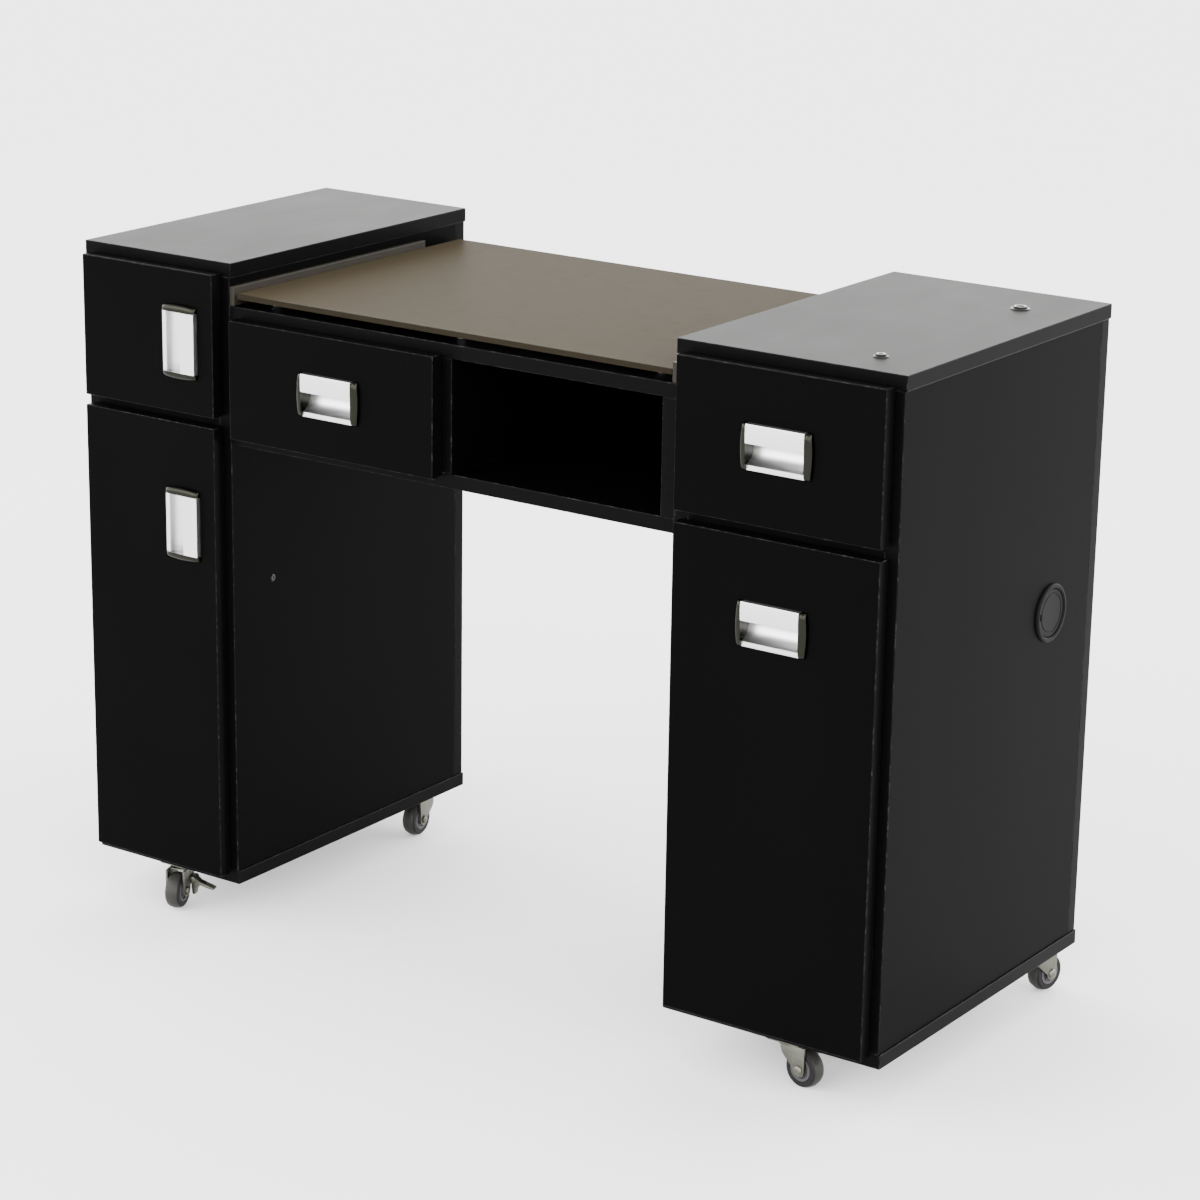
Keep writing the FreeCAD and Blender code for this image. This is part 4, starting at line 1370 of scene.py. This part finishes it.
def brake_ears(bm, name):
    """The two lugs on the fork that carry the brake's pin."""
    place, pin = brake_pin(name)
    near = FORK_OUTER - 1.0 * MM
    outline = [(near, pin.z - BRAKE_EAR)] + arc((pin.y, pin.z), BRAKE_EAR, -90, 90, 12)
    outline += [(near, pin.z + BRAKE_EAR)]
    for start in (pin.x - BRAKE_HALF - BRAKE_PLAY - EAR_SHEET, pin.x + BRAKE_HALF + BRAKE_PLAY):
        prism(bm, outline, place @ Matrix.Translation((start, 0, 0)) @ SIDEWAYS, EAR_SHEET, 0.4 * MM)


def brake_outline(pin):
    """The lever's section across the trail, as (sideways, height) points about the pin."""
    inner = FORK_OUTER + BRAKE_PLAY
    knee = (inner + 10.0 * MM, pin.z - 3.0 * MM)
    tip = (pin.y + 24.5 * MM, pin.z - 9.0 * MM)
    sheet, low = 1.8 * MM, pin.z - 18.0 * MM
    points = [(inner, pin.z)] + arc((inner + 1.0 * MM, pin.z + 2.0 * MM), 1.0 * MM, 180, 90, 5)
    points += arc((pin.y + 0.2 * MM, pin.z + 1.5 * MM), 1.5 * MM, 90, 40, 5) + [knee]
    slope = Vector((tip[0] - knee[0], tip[1] - knee[1])).normalized()
    for ridge in range(4):
        centre = Vector(tip) - slope * (2.0 + 2.6 * (3 - ridge)) * MM
        for turn in range(7):
            angle = math.pi * turn / 6
            points.append(tuple(centre + 0.55 * MM * (Vector((-slope.y, slope.x)) * math.sin(angle)
                                                      - slope * math.cos(angle))))
    points += arc((tip[0] - sheet / 2, tip[1] - sheet / 2), sheet / 2, 70, -110, 8)
    under = (knee[0] + 1.0 * MM, knee[1] - 2 * sheet)
    foot = (FORK_OUTER + 5.2 * MM, low)
    points += [under] + arc_through(under, (foot[0] + 2.4 * MM, (knee[1] + low) / 2), foot, 10)
    points += [(FORK_OUTER + 2.4 * MM, low), (FORK_OUTER + 2.2 * MM, low + 0.4 * MM)]
    return points


def brake_lever(name):
    """The toe lever of a front caster, hung from its pin beside the wheel, with grip ribs on its tab."""
    place, pin = brake_pin(name)
    bm = bmesh.new()
    side = place @ Matrix.Translation((pin.x - BRAKE_HALF, 0, 0)) @ SIDEWAYS
    prism(bm, brake_outline(pin), side, 2 * BRAKE_HALF, 0.35 * MM, steps=3)
    reach = BRAKE_HALF + BRAKE_PLAY + EAR_SHEET
    rod = [(0, -reach - 0.5 * MM), (1.9 * MM, -reach - 0.3 * MM), (1.9 * MM, -reach), (1.5 * MM, -reach)]
    rod += [(1.5 * MM, reach), (1.9 * MM, reach), (1.9 * MM, reach + 0.3 * MM), (0, reach + 0.5 * MM)]
    lathe(bm, rod, place @ Matrix.Translation(pin) @ Matrix.Rotation(math.radians(90), 4, "Y"), steps=24)
    piece(name + "_brake_toe", bm, [zinc()], name + "_brake", [name + "_brake_lever"], angle=30)


class TABLE_OT_casters(bpy.types.Operator):
    """Build the six casters and the two brakes"""
    bl_idname = "table.casters"
    bl_label = "Casters"

    def execute(self, context):
        caster_plates()
        for name in CASTERS:
            caster_fork(name)
            caster_wheel(name)
            if name.startswith("front"):
                brake_lever(name)
        return {"FINISHED"}


# Studio

def floor_finish():
    """A pale matt floor with the faintest mottle."""
    settings = bpy.context.scene.table_studio

    def make(nodes):
        cloud = nodes.noise(0.4, 2.0)
        grain = nodes.noise(0.003, 3.0)
        return {
            "Base Color": nodes.blend(cloud, rgba(settings.floor, 0.985), rgba(settings.floor)),
            "Roughness": 0.75 + cloud * 0.1,
            "Normal": nodes.bump(grain, 0.0001, 0.1),
        }

    return finish_for("pale_floor", {"Specular IOR Level": 0.2}, make)


def sky():
    """A bright band of light all round, low down, and a dim ceiling."""
    settings = bpy.context.scene.table_studio
    world = bpy.data.worlds.new("studio")
    world.use_nodes = True
    nodes = Nodes(world.node_tree)
    way = nodes.add("TexCoord", output="Generated")
    height = nodes.add("SeparateXYZ", {}, {"Vector": way}, output="Z")
    level = nodes.ramp(height, (0.0, 0.55), (0.1, 1.0), (0.5, 1.0), (0.68, 0.2), (1.0, 0.12))
    background = world.node_tree.nodes["Background"]
    nodes.feed(background.inputs["Color"], level)
    background.inputs["Strength"].default_value = settings.sky
    bpy.context.scene.world = world


def soft_light(name, place, target, size, power):
    """A square area light that looks at a point."""
    data = bpy.data.lights.new(name, "AREA")
    data.shape = "SQUARE"
    data.size = size
    data.energy = power
    made = bpy.data.objects.new(name, data)
    made.location = place
    made.rotation_euler = (Vector(target) - Vector(place)).to_track_quat("-Z", "Y").to_euler()
    bpy.context.scene.collection.objects.link(made)
    return made


CAMERA_PLACE = (2.0473, -2.9028, 1.4573)
CAMERA_AZIMUTH = math.radians(34.724)
CAMERA_ELEVATION = math.radians(16.844)
CAMERA_ROLL = math.radians(0.911)
SENSOR_WIDTH = 36.0


def camera():
    """A long lens seen from the right of the user, a little above the top."""
    settings = bpy.context.scene.table_studio
    data = bpy.data.cameras.new("camera")
    data.lens = settings.lens
    data.sensor_width = SENSOR_WIDTH
    data.clip_end = 200.0
    made = bpy.data.objects.new("camera", data)
    azimuth, elevation = CAMERA_AZIMUTH, CAMERA_ELEVATION
    back = Vector((math.sin(azimuth) * math.cos(elevation), -math.cos(azimuth) * math.cos(elevation),
                   math.sin(elevation)))
    right = Vector((math.cos(azimuth), math.sin(azimuth), 0.0))
    turn = Matrix((right, back.cross(right), back)).transposed().to_4x4()
    turn = turn @ Matrix.Rotation(CAMERA_ROLL, 4, "Z")
    made.matrix_world = Matrix.Translation(CAMERA_PLACE) @ turn
    bpy.context.scene.collection.objects.link(made)
    bpy.context.scene.camera = made


class TABLE_OT_studio(bpy.types.Operator):
    """Make the floor, the light and the camera"""
    bl_idname = "table.studio"
    bl_label = "Floor, light and camera"

    def execute(self, context):
        bm = bmesh.new()
        bmesh.ops.create_grid(bm, x_segments=8, y_segments=8, size=30.0)
        mesh = bpy.data.meshes.new("floor")
        bm.to_mesh(mesh)
        bm.free()
        mesh.materials.append(floor_finish())
        floor = bpy.data.objects.new("floor", mesh)
        context.scene.collection.objects.link(floor)
        sky()
        soft_light("key", (-1.6, -2.6, 2.8), (0, 0, 0.4), 2.2, 60.0)
        soft_light("overhead", (0.2, 0.4, 3.2), (0, 0, 0.5), 2.6, 50.0)
        camera()
        return {"FINISHED"}


class TABLE_PT_pieces(bpy.types.Panel):
    """The table's pieces, in the order they are made"""
    bl_label = "Manicure table"
    bl_idname = "TABLE_PT_pieces"
    bl_space_type = "VIEW_3D"
    bl_region_type = "UI"
    bl_category = "Table"

    def draw(self, context):
        for operator in OPERATORS:
            self.layout.operator(operator.bl_idname)
        for group in SETTINGS:
            settings = getattr(context.scene, group)
            box = self.layout.box()
            box.label(text=settings.bl_rna.description)
            for name in settings.bl_rna.properties.keys():
                if name not in ("rna_type", "name"):
                    box.prop(settings, name)


OPERATORS = (TABLE_OT_carcass, TABLE_OT_fronts, TABLE_OT_pulls, TABLE_OT_drawers, TABLE_OT_hinges,
             TABLE_OT_worktop, TABLE_OT_fittings, TABLE_OT_casters, TABLE_OT_studio)
SETTINGS = {"table_boards": BoardSettings, "table_pulls": PullSettings, "table_casters": CasterSettings,
            "table_worktop": WorktopSettings, "table_studio": StudioSettings}


def register():
    """Adds the settings, operators and panel."""
    for name, group in SETTINGS.items():
        bpy.utils.register_class(group)
        setattr(bpy.types.Scene, name, PointerProperty(type=group))
    for operator in OPERATORS:
        bpy.utils.register_class(operator)
    bpy.utils.register_class(TABLE_PT_pieces)


def unregister():
    """Takes them away again."""
    bpy.utils.unregister_class(TABLE_PT_pieces)
    for operator in reversed(OPERATORS):
        bpy.utils.unregister_class(operator)
    for name, group in SETTINGS.items():
        delattr(bpy.types.Scene, name)
        bpy.utils.unregister_class(group)


def main():
    """Builds every piece."""
    register()
    for operator in OPERATORS:
        group, name = operator.bl_idname.split(".")
        getattr(getattr(bpy.ops, group), name)()


if __name__ == "__main__":
    main()
